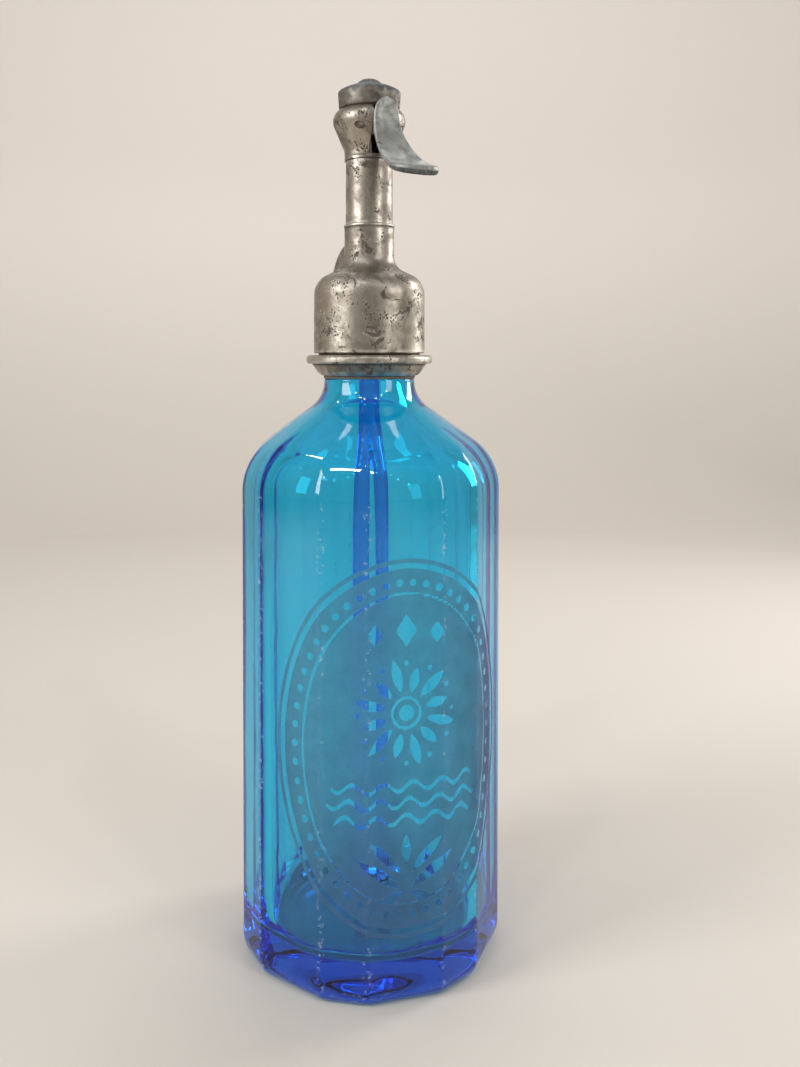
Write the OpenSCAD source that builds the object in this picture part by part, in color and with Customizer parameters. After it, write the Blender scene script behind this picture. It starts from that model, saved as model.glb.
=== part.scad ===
// Soda siphon: a panelled blue glass bottle under a pewter head with a thumb lever.
// The origin is the centre of the base, +Z is up, the lever points along +X and the
// spout along -X. Pressing the lever lifts the valve rod off its seat against a spring.

/* [Bottle] */
// Width of the bottle across its ridges
bottle_w = 96; // [84:1:108]
// Number of wide panels, each with a narrow one beside it
panel_pairs = 7; // [5:1:9]
// Angle that one wide panel takes of the round
wide_angle = 32.3; // [24:0.1:38]
// Angle that the bottle is turned under the head
bottle_turn = -9.5; // [-180:0.1:180]
// Thickness of the glass at a ridge
glass_wall = 6.5; // [5:0.5:8]
// Thickness of the glass floor
glass_floor = 11; // [8:0.5:16]
// Height of the bevel round the heel
heel_h = 6; // [3:0.5:9]
// How far the heel bevel leans in
heel_in = 4.2; // [2:0.2:6]
// Radius of the rounding between the floor and the wall inside
floor_round_r = 9; // [4:0.5:12]
// Depth of the hollow under the base
punt_h = 2.4; // [0.5:0.1:4]
// Radius of the rounding of the shoulder
shoulder_r = 22; // [14:1:30]
// Slope of the shoulder above the rounding
shoulder_slope = 35; // [25:1:45]
// Radius of the hollow curve from the shoulder to the neck
neck_curve_r = 12; // [8:0.5:18]
// Radius of the glass neck where it meets the collar
neck_r = 16.7; // [16:0.1:18]
// Height of the step that the collar stands on
step_z = 207.6; // [170:1:240]

/* [Neck finish] */
// Radius of the neck above the step
groove_r = 13.8; // [13:0.1:14.2]
// Radius of the glass lip
lip_r = 15.6; // [15:0.1:15.8]
// Height from the step to the underside of the lip
lip_under = 17.4; // [16:0.2:20]
// Height of the lip
lip_h = 10; // [8:0.5:12]

/* [Collar] */
// Thickness of the packing under the collar
packing_t = 1.2; // [0.8:0.1:2]
// Radius of the packing
packing_r = 17; // [16.8:0.1:17.5]
// Radius of the flange
flange_r = 23.3; // [22:0.1:25]
// Thickness of the flange
flange_t = 3.2; // [2.4:0.1:4]
// Height of the cone under the flange
cone_h = 4.3; // [3:0.1:6]
// Radius of the foot of the cone
cone_foot_r = 17.9; // [17.5:0.1:19]
// Radius of the screwed part that goes up into the bell
thread_r = 18.7; // [18.5:0.1:18.9]
// Length of the screwed part
thread_h = 10.6; // [9:0.2:13]
// Height of the two halves that grip the glass
half_h = 15; // [13:0.2:17]
// Height of the flange at the top of the halves
half_flange_h = 4.6; // [3:0.2:6]

/* [Bell and socket] */
// Radius of the bell
bell_r = 20.5; // [20.2:0.1:22]
// Gap between the bell and the collar flange
bell_gap = 0.6; // [0.3:0.1:1.5]
// Height of the bell up to where its socket is straight
bell_h = 35.8; // [33:0.2:40]
// Radius of the rounding at the top of the bell
bell_round_r = 8; // [6:0.5:9]
// Slope of the top of the bell
bell_slope = 25; // [20:1:35]
// Radius of the hollow curve from the bell to the socket
bell_curve_r = 6; // [4:0.5:8]
// Radius of the socket
socket_r = 9.2; // [9:0.1:10]
// Length of the straight part of the socket
socket_h = 11.6; // [10:0.2:16]

/* [Neck tube and lever chamber] */
// Radius of the neck tube
tube_r = 8.7; // [8.5:0.1:9]
// Length of the neck tube that shows
tube_h = 23.5; // [18:0.5:40]
// Bore of the neck tube, as a radius
tube_bore_r = 5; // [4.5:0.1:5.5]
// Length of each screwed end that goes into its neighbour
spigot_h = 6; // [5:0.2:8]
// Radius of the screwed ends
spigot_r = 7.2; // [6.6:0.1:7.4]
// Height of the lever chamber
chamber_h = 18.5; // [18:0.5:22]
// Widest radius of the lever chamber
chamber_r = 13.4; // [13:0.1:14]
// Radius of the foot of the lever chamber
chamber_foot_r = 9.2; // [9:0.1:9.6]
// Height of the widest place below the top of the chamber
bulge_drop = 4; // [3.5:0.1:4.6]
// Radius of the rounding of the bulge
bulge_round_r = 4.8; // [4.6:0.1:5.4]
// Steepness of the chamber's taper
chamber_slope = 63; // [55:1:68]
// Radius of the hollow curve above the chamber's foot
chamber_curve_r = 8; // [5:0.5:10]
// Bore of the lever chamber, as a radius
chamber_bore_r = 7.5; // [7.2:0.1:7.8]
// Width of the slot that the lever goes through
slot_w = 8; // [7:0.1:9]

/* [Cap] */
// Radius of the cap
cap_r = 11.6; // [11.2:0.1:12.2]
// How much narrower the cap is at its lower edge
cap_taper = 0.4; // [0:0.1:0.8]
// Height of the side of the cap
cap_side_h = 5.7; // [5:0.1:8]
// Height of the whole cap without its button
cap_h = 9.7; // [9:0.1:12]
// Radius of the button on the cap
button_r = 5; // [3:0.1:6]
// Height of the button above the cap
button_h = 2.2; // [1:0.1:4]

/* [Lever] */
// Distance of the pivot from the axis
pivot_x = 9.2; // [8.8:0.1:9.6]
// Height of the pivot above the foot of the chamber
pivot_up = 11; // [10.5:0.1:11.5]
// Radius of the pivot pin
pin_r = 1.25; // [1:0.05:1.5]
// Radius of the lever's boss round the pin
boss_r = 3.2; // [2.8:0.1:3.4]
// Angle that the lever can be pressed through
lever_travel = 18; // [10:1:20]
// Thickness of the blade
blade_t = 2; // [1.6:0.1:2.2]
// Distance of the upright part of the blade's face from the axis
blade_x = 15.6; // [15.4:0.1:17]
// Height of the blade's nose above the pivot
nose_up = 9.6; // [8:0.1:11]
// Height of the upright part of the blade above the pivot
upright_up = 3.2; // [2:0.1:5]
// Radius of the first bend of the blade
first_bend_r = 13; // [10:0.5:18]
// Angle of the first bend
first_bend = 36; // [30:1:45]
// Radius of the second, wider bend
second_bend_r = 33; // [26:1:40]
// Angle of the second bend
second_bend = 46; // [36:1:50]
// Length of the straight tip beyond the bends
tip_l = 6.4; // [4:0.2:10]
// Half the width of the blade at its nose
nose_w = 5; // [4:0.1:6]
// Half the width of the blade at its tip
tip_w = 8.5; // [7:0.1:10]
// Depth of the hollow for the thumb
dish_h = 0.7; // [0.3:0.1:1]

/* [Spout] */
// Radius of the spout
spout_r = 4.8; // [4.4:0.1:5.2]
// Bore of the spout, as a radius
spout_bore_r = 3.3; // [2.6:0.1:3.4]
// Height of the spout's root above the start of the straight socket
spout_up = 2.9; // [2:0.1:4]
// Distance from the axis to the middle of the spout's mouth
spout_reach = 29.5; // [28.8:0.5:36]
// Height of the mouth above the underside of the bell
mouth_up = -0.5; // [-2:0.5:8]
// How much slimmer the spout is in its bends than in its straight runs
bend_thin = 0.05; // [0.05:0.05:0.3]
// Angle of the spout's first bend
spout_bend = 52; // [40:1:65]
// Radius of the spout's first bend
spout_bend_r = 13; // [11:0.5:15]
// Radius of the spout's second bend
spout_turn_r = 12; // [9:0.5:14]

/* [Valve] */
// Radius of the valve rod
rod_r = 1.5; // [1.2:0.1:1.6]
// Radius of the flange that the lever lifts
rod_flange_r = 4.6; // [4.3:0.1:4.8]
// Thickness of the flange that the lever lifts
rod_flange_t = 1.2; // [1:0.1:1.5]
// Radius of the rubber valve washer
washer_r = 4.8; // [4.2:0.1:5.2]
// Thickness of the rubber valve washer
washer_t = 2.5; // [1.5:0.1:3]
// Thickness of the nut that holds the valve washer
washer_nut_t = 2.2; // [1.5:0.1:2.6]
// Radius of the valve seat
seat_r = 6.4; // [5.8:0.1:6.8]
// Radius of the hole through the valve seat
seat_hole_r = 2.6; // [2:0.1:3]
// Radius of the water chamber in the socket
water_r = 6; // [5.4:0.1:6.2]
// Thickness of the rod's rubber gland seal
gland_seal_t = 3; // [2:0.1:4]
// Length of the gland nut
gland_nut_h = 4.5; // [3:0.1:6]
// Diameter of the spring wire
wire_d = 1.1; // [0.8:0.1:1.2]
// Radius of the middle of the spring wire
spring_r = 3.7; // [3.5:0.1:3.9]
// Number of turns of the spring
spring_turns = 4.5; // [3.5:0.5:5]

/* [Dip tube and gaskets] */
// Radius of the glass dip tube
dip_r = 3.75; // [3:0.05:4.2]
// Bore of the dip tube, as a radius
dip_bore_r = 2.2; // [1.5:0.1:2.4]
// Gap between the dip tube and the glass floor
dip_gap = 5; // [2:0.5:12]
// Radius of the flared top of the dip tube
dip_flare_r = 6.2; // [5.6:0.1:7]
// Thickness of the bottle gasket and of the head gasket
gasket_t = 1.3; // [0.8:0.1:2]
// Thickness of the disc that holds the dip tube
holder_t = 3.6; // [3.2:0.1:5]
// Radius of the disc that holds the dip tube
holder_r = 14.6; // [13.5:0.1:15]
// Depth of the plug under the disc, in the neck of the bottle
holder_plug_h = 4; // [2:0.5:6]
// Thickness of the floor of the recess for the flared tube
holder_floor_t = 0.7; // [0.5:0.1:1]
// Thickness of the ring that seals the dip tube
tube_seal_t = 0.9; // [0.6:0.1:1.4]

/* [Clearances] */
// Gap between parts that slip over or into each other
slip = 0.3; // [0.2:0.05:0.4]
// Gap between a part and the round part that turns or slides in it
running = 0.05; // [0.02:0.01:0.1]
// Gap between the lever's finger and the flange above it
finger_play = 0.4; // [0.3:0.05:0.6]

/* [Hidden] */
$fn = 96;
far = 200;

// How far a lapped piece stays inside the faces of its neighbour, and how far a line that
// runs into an arc is shifted, so that the two cross.
tuck = 0.05;
hair = 0.02;

// Heights of the stack, from the glass step up.
bottle_r = bottle_w / 2;
collar_z = step_z + packing_t;
flange_z = collar_z + cone_h;
flange_top_z = flange_z + flange_t;
bell_z = flange_top_z + bell_gap;
socket_z = bell_z + bell_h;
tube_z = socket_z + socket_h;
chamber_z = tube_z + tube_h;
chamber_top_z = chamber_z + chamber_h;
cap_washer_t = 0.4;
cap_z = chamber_top_z + cap_washer_t;
cap_top_z = cap_z + cap_h;

// The glass lip and what lies on it, up to the ceiling of the bell.
lip_z = step_z + lip_under;
lip_slant_h = 2;
lip_top_z = lip_z + lip_h;
holder_z = lip_top_z + gasket_t;
recess_z = holder_z + holder_floor_t;
head_gasket_z = holder_z + holder_t;
ceiling_z = head_gasket_z + gasket_t;
neck_bore_r = neck_r - glass_wall;

// The valve and its lift.
seat_h = 5.4;
seat_nose_h = 1;
washer_z = ceiling_z + seat_h + seat_nose_h + running;
washer_nut_z = washer_z + washer_t;
gland_floor_t = 1.5;
gland_z = tube_z - spigot_h + gland_floor_t;
pivot_z = chamber_z + pivot_up;
rod_lift = pivot_x * lever_travel * PI / 180;
rod_flange_z = pivot_z + boss_r;
finger_top_z = rod_flange_z - finger_play;
finger_t = 2.1;
rod_top_z = rod_flange_z + rod_flange_t + 1.5;
spring_z = rod_flange_z + rod_flange_t + running;
spring_room_r = max(spring_r + wire_d / 2, rod_flange_r) + slip;
spring_ceiling_z = cap_z + cap_h - 2.6;
spring_h = spring_ceiling_z - spring_z - running;
spring_pitch = (spring_h - wire_d) / spring_turns;

// Where the blade's bends end, in the plane of the lever.
first_centre = [blade_x + first_bend_r, pivot_z + upright_up];
bend_joint = 180 + first_bend;
second_centre = first_centre + (first_bend_r - second_bend_r) * [cos(bend_joint), sin(bend_joint)];
bend_end = bend_joint + second_bend;
blade_end = second_centre + second_bend_r * [cos(bend_end), sin(bend_end)];
nose_z = pivot_z + nose_up;

// The corners of the spout's path, in the plane of the lever. Its root stays clear of the
// screwed end of the neck tube.
spout_z = socket_z + spout_up;
spout_root_x = spigot_r + 2 * running;
spout_start = [-(socket_r + 0.8), spout_z];
spout_bend_end = spout_start - spout_bend_r * [sin(spout_bend), 1 - cos(spout_bend)];
spout_turn_in = spout_turn_r * (1 - sin(spout_bend));
spout_run_l = (spout_reach + spout_bend_end[0] - spout_turn_in) / cos(spout_bend);
spout_turn_start = spout_bend_end - spout_run_l * [cos(spout_bend), sin(spout_bend)];
spout_turn_end = [-spout_reach, spout_turn_start[1] - spout_turn_r * cos(spout_bend)];
mouth_z = bell_z + mouth_up;

// Angles of the middles of the panels and of the ridges between them. The panels would
// meet a little outside the round, so it leaves each ridge soft.
ridge_r = bottle_r + 0.12;
pair_angle = 360 / panel_pairs;
narrow_angle = pair_angle - wide_angle;
ridge_angles = [
    for (i = [0 : panel_pairs - 1])
        for (side = [-1, 1])
            i * pair_angle + side * wide_angle / 2
];

echo(rod_lift_mm = rod_lift);
echo(spring_gap_at_rest_mm = spring_pitch - wire_d);
echo(spring_gap_when_pressed_mm = spring_pitch - rod_lift / spring_turns - wire_d);

// Half of a turned form: a body, a rounded and sloping shoulder, a hollow curve and a neck.
// The rounding, the slope and the curve run into each other smoothly, and a wide rounding
// stops at the axis.
module shoulder_outline(body_r, round_r, slope, neck_r, curve_r, low_z, neck_z, top_z) {
    slant = [sin(slope), cos(slope)];
    curve_centre = [neck_r + curve_r, neck_z];
    curve_touch = curve_centre - curve_r * slant;
    round_x = body_r - round_r;
    slope_run = round_x + round_r * slant[0] - curve_touch[0];
    round_z = curve_touch[1] - slope_run * tan(slope) - round_r * slant[1];
    difference() {
        polygon([
            [0, low_z], [body_r, low_z], [body_r, round_z],
            [round_x, round_z] + (round_r - hair) * slant,
            curve_centre - (curve_r - hair) * slant, curve_centre,
            [neck_r, neck_z], [neck_r, top_z], [0, top_z]
        ]);
        translate(curve_centre) circle(curve_r);
    }
    intersection() {
        translate([round_x, round_z]) circle(round_r);
        translate([0, low_z]) square([body_r + 1, top_z - low_z]);
    }
}

// A flat ring.
module ring(outer_r, inner_r, z, h) {
    translate([0, 0, z]) difference() {
        cylinder(h = h, r = outer_r);
        translate([0, 0, -1]) cylinder(h = h + 2, r = inner_r);
    }
}

// A bent rod in the plane of the lever, round a centre, from one angle on through another.
module bend(centre, path_r, start, angle, r) {
    translate([centre[0], 0, centre[1]])
        rotate([90, 0, 0])
            rotate_extrude(angle = angle, start = start)
                translate([path_r, 0]) circle(r);
}

// A curved strip in a plane: the part of a ring between two angles.
module arc_strip(centre, inner_r, outer_r, start, angle) {
    reach = 2 * outer_r;
    translate(centre) intersection() {
        difference() {
            circle(outer_r);
            circle(inner_r);
        }
        polygon([
            [0, 0],
            reach * [cos(start), sin(start)],
            reach * [cos(start + angle / 2), sin(start + angle / 2)],
            reach * [cos(start + angle), sin(start + angle)]
        ]);
    }
}

// The revolved glass, inset by a wall: 0 is the outside and glass_wall is the hollow.
module glass_outline(inset, low_z, top_z) {
    shoulder_outline(
        bottle_r - inset, shoulder_r - inset, shoulder_slope,
        neck_r - inset, neck_curve_r + inset, low_z, step_z - 0.6, top_z
    );
}

// The bevel that each panel has at the heel.
module heel_cut(angle, span) {
    flat_r = ridge_r * cos(span / 2);
    half_w = ridge_r * sin(span / 2) + 2;
    rotate(angle)
        translate([flat_r - heel_in, -half_w, 0])
            rotate([0, atan(heel_in / heel_h), 0])
                translate([0, 0, -heel_h]) cube([2 * heel_h, 2 * half_w, 3 * heel_h]);
}

module bottle() {
    color("deepskyblue")
    difference() {
        union() {
            intersection() {
                rotate_extrude() glass_outline(0, 0, step_z);
                rotate(bottle_turn)
                    linear_extrude(step_z)
                        polygon([for (a = ridge_angles) ridge_r * [cos(a), sin(a)]]);
            }
            rotate_extrude() polygon([
                [0, step_z - 1], [groove_r, step_z - 1], [groove_r, lip_z],
                [lip_r, lip_z + lip_slant_h], [lip_r, lip_top_z - 1],
                [lip_r - 1, lip_top_z], [0, lip_top_z]
            ]);
        }
        rotate(bottle_turn)
            for (i = [0 : panel_pairs - 1]) {
                heel_cut(i * pair_angle, wide_angle);
                heel_cut((i + 0.5) * pair_angle, narrow_angle);
            }
        bottle_hollow();
        punt();
    }
}

// The inside of the bottle, with a rounded edge to its floor.
module bottle_hollow() {
    hollow_r = bottle_r - glass_wall;
    rotate_extrude() {
        difference() {
            glass_outline(glass_wall, glass_floor, step_z);
            translate([hollow_r - floor_round_r, glass_floor]) square(floor_round_r);
        }
        translate([hollow_r - floor_round_r, glass_floor + floor_round_r])
            circle(floor_round_r);
    }
    translate([0, 0, step_z - 1]) cylinder(h = lip_top_z - step_z + 2, r = neck_bore_r);
}

// The shallow hollow under the base.
module punt() {
    rim_r = bottle_r * cos(wide_angle / 2) - heel_in - 6;
    ball_r = (rim_r * rim_r + punt_h * punt_h) / (2 * punt_h);
    translate([0, 0, punt_h - ball_r]) sphere(ball_r);
}

module collar_packing() {
    color("dimgray") ring(packing_r, groove_r + slip, step_z, packing_t);
}

module collar_ring() {
    edge_r = flange_t / 2;
    ledge_z = collar_z + half_h - half_flange_h;
    color("silver")
    difference() {
        rotate_extrude() {
            polygon([
                [0, collar_z], [cone_foot_r, collar_z], [cone_foot_r + 1.1, collar_z + 0.9],
                [flange_r - edge_r, flange_z], [flange_r - edge_r, flange_top_z],
                [thread_r, flange_top_z], [thread_r, flange_top_z + thread_h],
                [0, flange_top_z + thread_h]
            ]);
            translate([flange_r - edge_r, flange_z + edge_r]) circle(edge_r);
        }
        translate([0, 0, collar_z - 1]) cylinder(h = far, r = lip_r + slip);
        translate([0, 0, ledge_z]) cylinder(h = far, r = lip_r + slip + 1.3);
    }
}

// One half of the ring that grips the glass under its lip.
module split_half(side) {
    flange_r = lip_r + 1.3;
    color("gray")
    intersection() {
        difference() {
            union() {
                translate([0, 0, collar_z]) cylinder(h = half_h, r = lip_r);
                translate([0, 0, collar_z + half_h - half_flange_h])
                    cylinder(h = half_flange_h, r = flange_r);
            }
            translate([0, 0, collar_z - 1]) cylinder(h = half_h + 2, r = groove_r + slip);
        }
        translate([-far / 2, side > 0 ? slip / 2 : -far - slip / 2, 0]) cube([far, far, 2 * far]);
    }
}

module split_ring_left() {
    split_half(-1);
}

module split_ring_right() {
    split_half(1);
}

module bottle_gasket() {
    color("black") ring(lip_r - 1.2, neck_bore_r + slip, lip_top_z, gasket_t);
}

// A disc that lies on the bottle and hangs the dip tube in its recess.
module tube_holder() {
    color("ivory")
    difference() {
        union() {
            translate([0, 0, holder_z]) cylinder(h = holder_t, r = holder_r);
            translate([0, 0, holder_z - holder_plug_h])
                cylinder(h = holder_plug_h + 1, r = neck_bore_r - slip);
        }
        translate([0, 0, holder_z - holder_plug_h - 1])
            cylinder(h = holder_plug_h + holder_t + 2, r = dip_r + slip);
        translate([0, 0, recess_z]) cylinder(h = holder_t, r = dip_flare_r + slip);
    }
}

module tube_seal() {
    color("black") ring(dip_flare_r, dip_r + 0.1, recess_z, tube_seal_t);
}

// The glass tube that draws from the bottom of the bottle, cut askew at its foot.
module dip_tube() {
    flare_z = recess_z + tube_seal_t;
    foot_z = glass_floor + dip_gap;
    color("royalblue")
    difference() {
        union() {
            translate([0, 0, foot_z]) cylinder(h = flare_z - foot_z + 1, r = dip_r);
            translate([0, 0, flare_z]) cylinder(h = head_gasket_z - flare_z - 0.1, r = dip_flare_r);
        }
        translate([0, 0, foot_z - 1]) cylinder(h = far + 40, r = dip_bore_r);
        translate([-dip_r, 0, foot_z])
            rotate([0, 35, 0])
                translate([-far / 2, -far / 2, -far]) cube(far);
    }
}

module head_gasket() {
    color("black") ring(holder_r, seat_hole_r + 1, head_gasket_z, gasket_t);
}

module bell() {
    color("lightslategray")
    difference() {
        union() {
            rotate_extrude()
                shoulder_outline(
                    bell_r, bell_round_r, bell_slope, socket_r, bell_curve_r,
                    bell_z, socket_z, tube_z
                );
            ring(socket_r + 0.2, socket_r - 1, tube_z - 0.8, 0.8);
        }
        translate([0, 0, bell_z - 1]) cylinder(h = lip_top_z - bell_z + 2, r = thread_r + slip);
        translate([0, 0, lip_top_z]) cylinder(h = ceiling_z - lip_top_z, r = holder_r + slip);
        translate([0, 0, ceiling_z - 1]) cylinder(h = seat_h + 1, r = seat_r);
        translate([0, 0, ceiling_z]) cylinder(h = far, r = water_r);
        translate([0, 0, tube_z - spigot_h]) cylinder(h = far, r = spigot_r);
        translate([0, 0, spout_z]) rotate([0, -90, 0]) cylinder(h = far, r = spout_bore_r + 0.7);
    }
}

// A pressed-in ring with a raised nose that the valve washer closes on.
module valve_seat() {
    color("goldenrod")
    difference() {
        union() {
            translate([0, 0, ceiling_z]) cylinder(h = seat_h, r = seat_r);
            translate([0, 0, ceiling_z])
                cylinder(h = seat_h + seat_nose_h, r = seat_hole_r + 1);
        }
        translate([0, 0, ceiling_z - 1]) cylinder(h = seat_h + seat_nose_h + 2, r = seat_hole_r);
    }
}

// The path of the spout as a solid of one radius, a little longer at each end if asked.
module spout_path(r, extra) {
    tilt = 90 - spout_bend;
    thin_r = r - bend_thin;
    lap = 2;
    translate([-spout_root_x + extra, 0, spout_z])
        rotate([0, -90, 0]) cylinder(h = -spout_start[0] - spout_root_x + extra, r = r);
    bend(spout_start - [0, spout_bend_r], spout_bend_r, 90 - lap, spout_bend + 2 * lap, thin_r);
    translate([spout_bend_end[0], 0, spout_bend_end[1]])
        rotate([0, 180 + tilt, 0]) cylinder(h = spout_run_l, r = r);
    bend(
        spout_turn_end + [spout_turn_r, 0], spout_turn_r,
        90 + spout_bend - lap, 90 - spout_bend + 2 * lap, thin_r
    );
    translate([-spout_reach, 0, mouth_z - extra])
        cylinder(h = spout_turn_end[1] - mouth_z + extra, r = r);
}

module spout() {
    spigot_l = socket_r - spout_root_x;
    color("lightslategray")
    difference() {
        union() {
            difference() {
                union() {
                    spout_path(spout_r, 0);
                    translate([-spout_reach, 0, mouth_z]) cylinder(h = 1.6, r = spout_r + 0.4);
                }
                translate([0, 0, spout_z - far / 2]) cylinder(h = far, r = socket_r);
            }
            translate([-spout_root_x, 0, spout_z])
                rotate([0, -90, 0]) cylinder(h = spigot_l + 2, r = spout_bore_r + 0.7);
        }
        spout_path(spout_bore_r, 1);
    }
}

// The tube between the socket and the lever chamber, with the floor of the gland.
module neck_tube() {
    color("darkgray")
    difference() {
        union() {
            translate([0, 0, tube_z]) cylinder(h = tube_h, r = tube_r);
            translate([0, 0, tube_z - spigot_h]) cylinder(h = spigot_h + 1, r = spigot_r);
        }
        translate([0, 0, gland_z]) cylinder(h = far, r = tube_bore_r);
        translate([0, 0, tube_z - spigot_h - 1]) cylinder(h = spigot_h, r = rod_r + 2 * slip);
        translate([0, 0, chamber_z - spigot_h]) cylinder(h = far, r = spigot_r - 0.3);
    }
}

module gland_seal() {
    color("black") ring(tube_bore_r, rod_r + running, gland_z, gland_seal_t);
}

// The nut that presses the gland seal, with a slot for a driver across its top.
module gland_nut() {
    nut_z = gland_z + gland_seal_t;
    slot_h = 1;
    color("goldenrod")
    difference() {
        ring(tube_bore_r, rod_r + running, nut_z, gland_nut_h);
        translate([-far / 2, -0.75, nut_z + gland_nut_h - slot_h]) cube([far, 1.5, far]);
    }
}

module valve_rod() {
    color("silver")
        translate([0, 0, washer_z + 0.5]) cylinder(h = rod_top_z - washer_z - 0.5, r = rod_r);
}

module valve_washer() {
    color("firebrick")
    difference() {
        translate([0, 0, washer_z]) cylinder(h = washer_t, r = washer_r);
        translate([0, 0, washer_z + 0.5]) cylinder(h = washer_t, r = rod_r);
    }
}

module washer_nut() {
    color("goldenrod")
    difference() {
        translate([0, 0, washer_nut_z]) cylinder(h = washer_nut_t, r = washer_r - 0.4, $fn = 6);
        translate([0, 0, washer_nut_z - 1]) cylinder(h = washer_nut_t + 2, r = rod_r);
    }
}

// The flanged nut on top of the rod: the lever lifts its flange and the spring sits on it.
module rod_head() {
    color("goldenrod")
    difference() {
        union() {
            translate([0, 0, rod_flange_z]) cylinder(h = rod_flange_t, r = rod_flange_r);
            translate([0, 0, rod_flange_z])
                cylinder(h = rod_top_z - rod_flange_z, r = spring_r - wire_d / 2 - slip);
        }
        translate([0, 0, rod_flange_z - 1]) cylinder(h = far, r = rod_r);
    }
}

// One unbroken helical wire, 8 rings to a turn and 6 sides to a ring.
module spring() {
    sides = 6;
    rings = 8 * spring_turns;
    wire_r = wire_d / 2;
    points = [
        for (i = [0 : rings])
            for (j = [0 : sides - 1])
                let (turn = 45 * i, side = 360 * j / sides, r = spring_r + wire_r * cos(side))
                [
                    r * cos(turn),
                    r * sin(turn),
                    spring_z + wire_r + spring_pitch * i / 8 + wire_r * sin(side)
                ]
    ];
    walls = [
        for (i = [0 : rings - 1])
            for (j = [0 : sides - 1])
                let (k = (j + 1) % sides, low = i * sides, high = low + sides)
                each [[low + j, high + j, high + k], [low + j, high + k, low + k]]
    ];
    start_cap = [for (j = [1 : sides - 2]) [0, j, j + 1]];
    last = rings * sides;
    end_cap = [for (j = [1 : sides - 2]) [last, last + j + 1, last + j]];
    color("gainsboro") polyhedron(points, concat(start_cap, walls, end_cap));
}

// The outside of the lever chamber: a foot, a hollow curve, a taper and a rounded bulge.
module chamber_outline() {
    bulge_z = chamber_top_z - bulge_drop;
    foot_curve_z = chamber_z + 1.6;
    slant = [sin(chamber_slope), cos(chamber_slope)];
    round_centre = [chamber_r - bulge_round_r, bulge_z];
    curve_centre = [chamber_foot_r - 0.1 + chamber_curve_r, foot_curve_z];
    round_low = round_centre + (bulge_round_r - hair) * [slant[0], -slant[1]];
    curve_high = curve_centre - (chamber_curve_r - hair) * [slant[0], -slant[1]];
    intersection() {
        union() {
            translate(round_centre) circle(bulge_round_r);
            difference() {
                polygon([
                    [0, foot_curve_z], curve_centre, curve_high, round_low, round_centre,
                    [round_centre[0], chamber_top_z], [0, chamber_top_z]
                ]);
                translate(curve_centre) circle(chamber_curve_r);
            }
        }
        translate([0, foot_curve_z]) square([far, chamber_top_z - foot_curve_z]);
    }
    translate([0, chamber_z]) square([chamber_foot_r, 1.1]);
    translate([0, chamber_z]) square([chamber_foot_r - 0.2, 1.6]);
}

module lever_chamber() {
    color("darkgray")
    difference() {
        union() {
            rotate_extrude() chamber_outline();
            translate([0, 0, chamber_z - spigot_h]) cylinder(h = spigot_h + 1, r = spigot_r - 0.3);
        }
        translate([0, 0, chamber_z - spigot_h - 1]) cylinder(h = far, r = tube_bore_r);
        translate([0, 0, chamber_z + 3.5]) cylinder(h = far, r = chamber_bore_r);
        translate([0, 0, cap_z - 2.9 - slip]) cylinder(h = far, r = chamber_bore_r + 0.9);
        translate([0, -slot_w / 2, chamber_z + 1.4]) cube([far, slot_w, far]);
        pin_hole(pin_r);
    }
}

// The hole for the lever pin, right through the chamber.
module pin_hole(r) {
    translate([pivot_x, far / 2, pivot_z]) rotate([90, 0, 0]) cylinder(h = far, r = r);
}

module lever_pin() {
    half_l = sqrt(chamber_r * chamber_r - pivot_x * pivot_x) - 1;
    color("dimgray")
        translate([pivot_x, half_l, pivot_z])
            rotate([90, 0, 0]) cylinder(h = 2 * half_l, r = pin_r);
}

// The blade from the side: an upright nose, two bends and a straight rounded tip. The first
// bend and the tip are a hair slimmer and lap into their neighbours.
module blade_side() {
    end_turn = bend_end - 270;
    lap = 2;
    tip_lap = 0.6;
    translate([blade_x - blade_t, first_centre[1]])
        square([blade_t, nose_z - first_centre[1] - blade_t / 2]);
    translate([blade_x - blade_t / 2, nose_z - blade_t / 2]) circle(blade_t / 2);
    arc_strip(
        first_centre, first_bend_r + tuck, first_bend_r + blade_t - tuck,
        180 - lap, first_bend + 2 * lap
    );
    arc_strip(second_centre, second_bend_r, second_bend_r + blade_t, bend_joint, second_bend);
    translate(blade_end) rotate(end_turn) {
        translate([-tip_lap, tuck - blade_t])
            square([tip_l - blade_t / 2 + tip_lap, blade_t - 2 * tuck]);
        translate([tip_l - blade_t / 2, -blade_t / 2]) circle(blade_t / 2);
    }
}

// The blade from its front, seen at 45 degrees: two round ends and straight sides.
module blade_front() {
    tip_l45 = (blade_end[0] + tip_l - blade_x + nose_z - blade_end[1]) / sqrt(2);
    span = tip_l45 - nose_w - tip_w;
    lean = asin((tip_w - nose_w) / span);
    side = [-sin(lean), cos(lean)];
    other = [-sin(lean), -cos(lean)];
    nose = [nose_w, 0];
    tip = [nose_w + span, 0];
    translate(nose) circle(nose_w);
    translate(tip) circle(tip_w);
    polygon([
        nose + (nose_w - tuck) * side, tip + (tip_w - tuck) * side,
        tip + (tip_w - tuck) * other, nose + (nose_w - tuck) * other
    ]);
}

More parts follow.
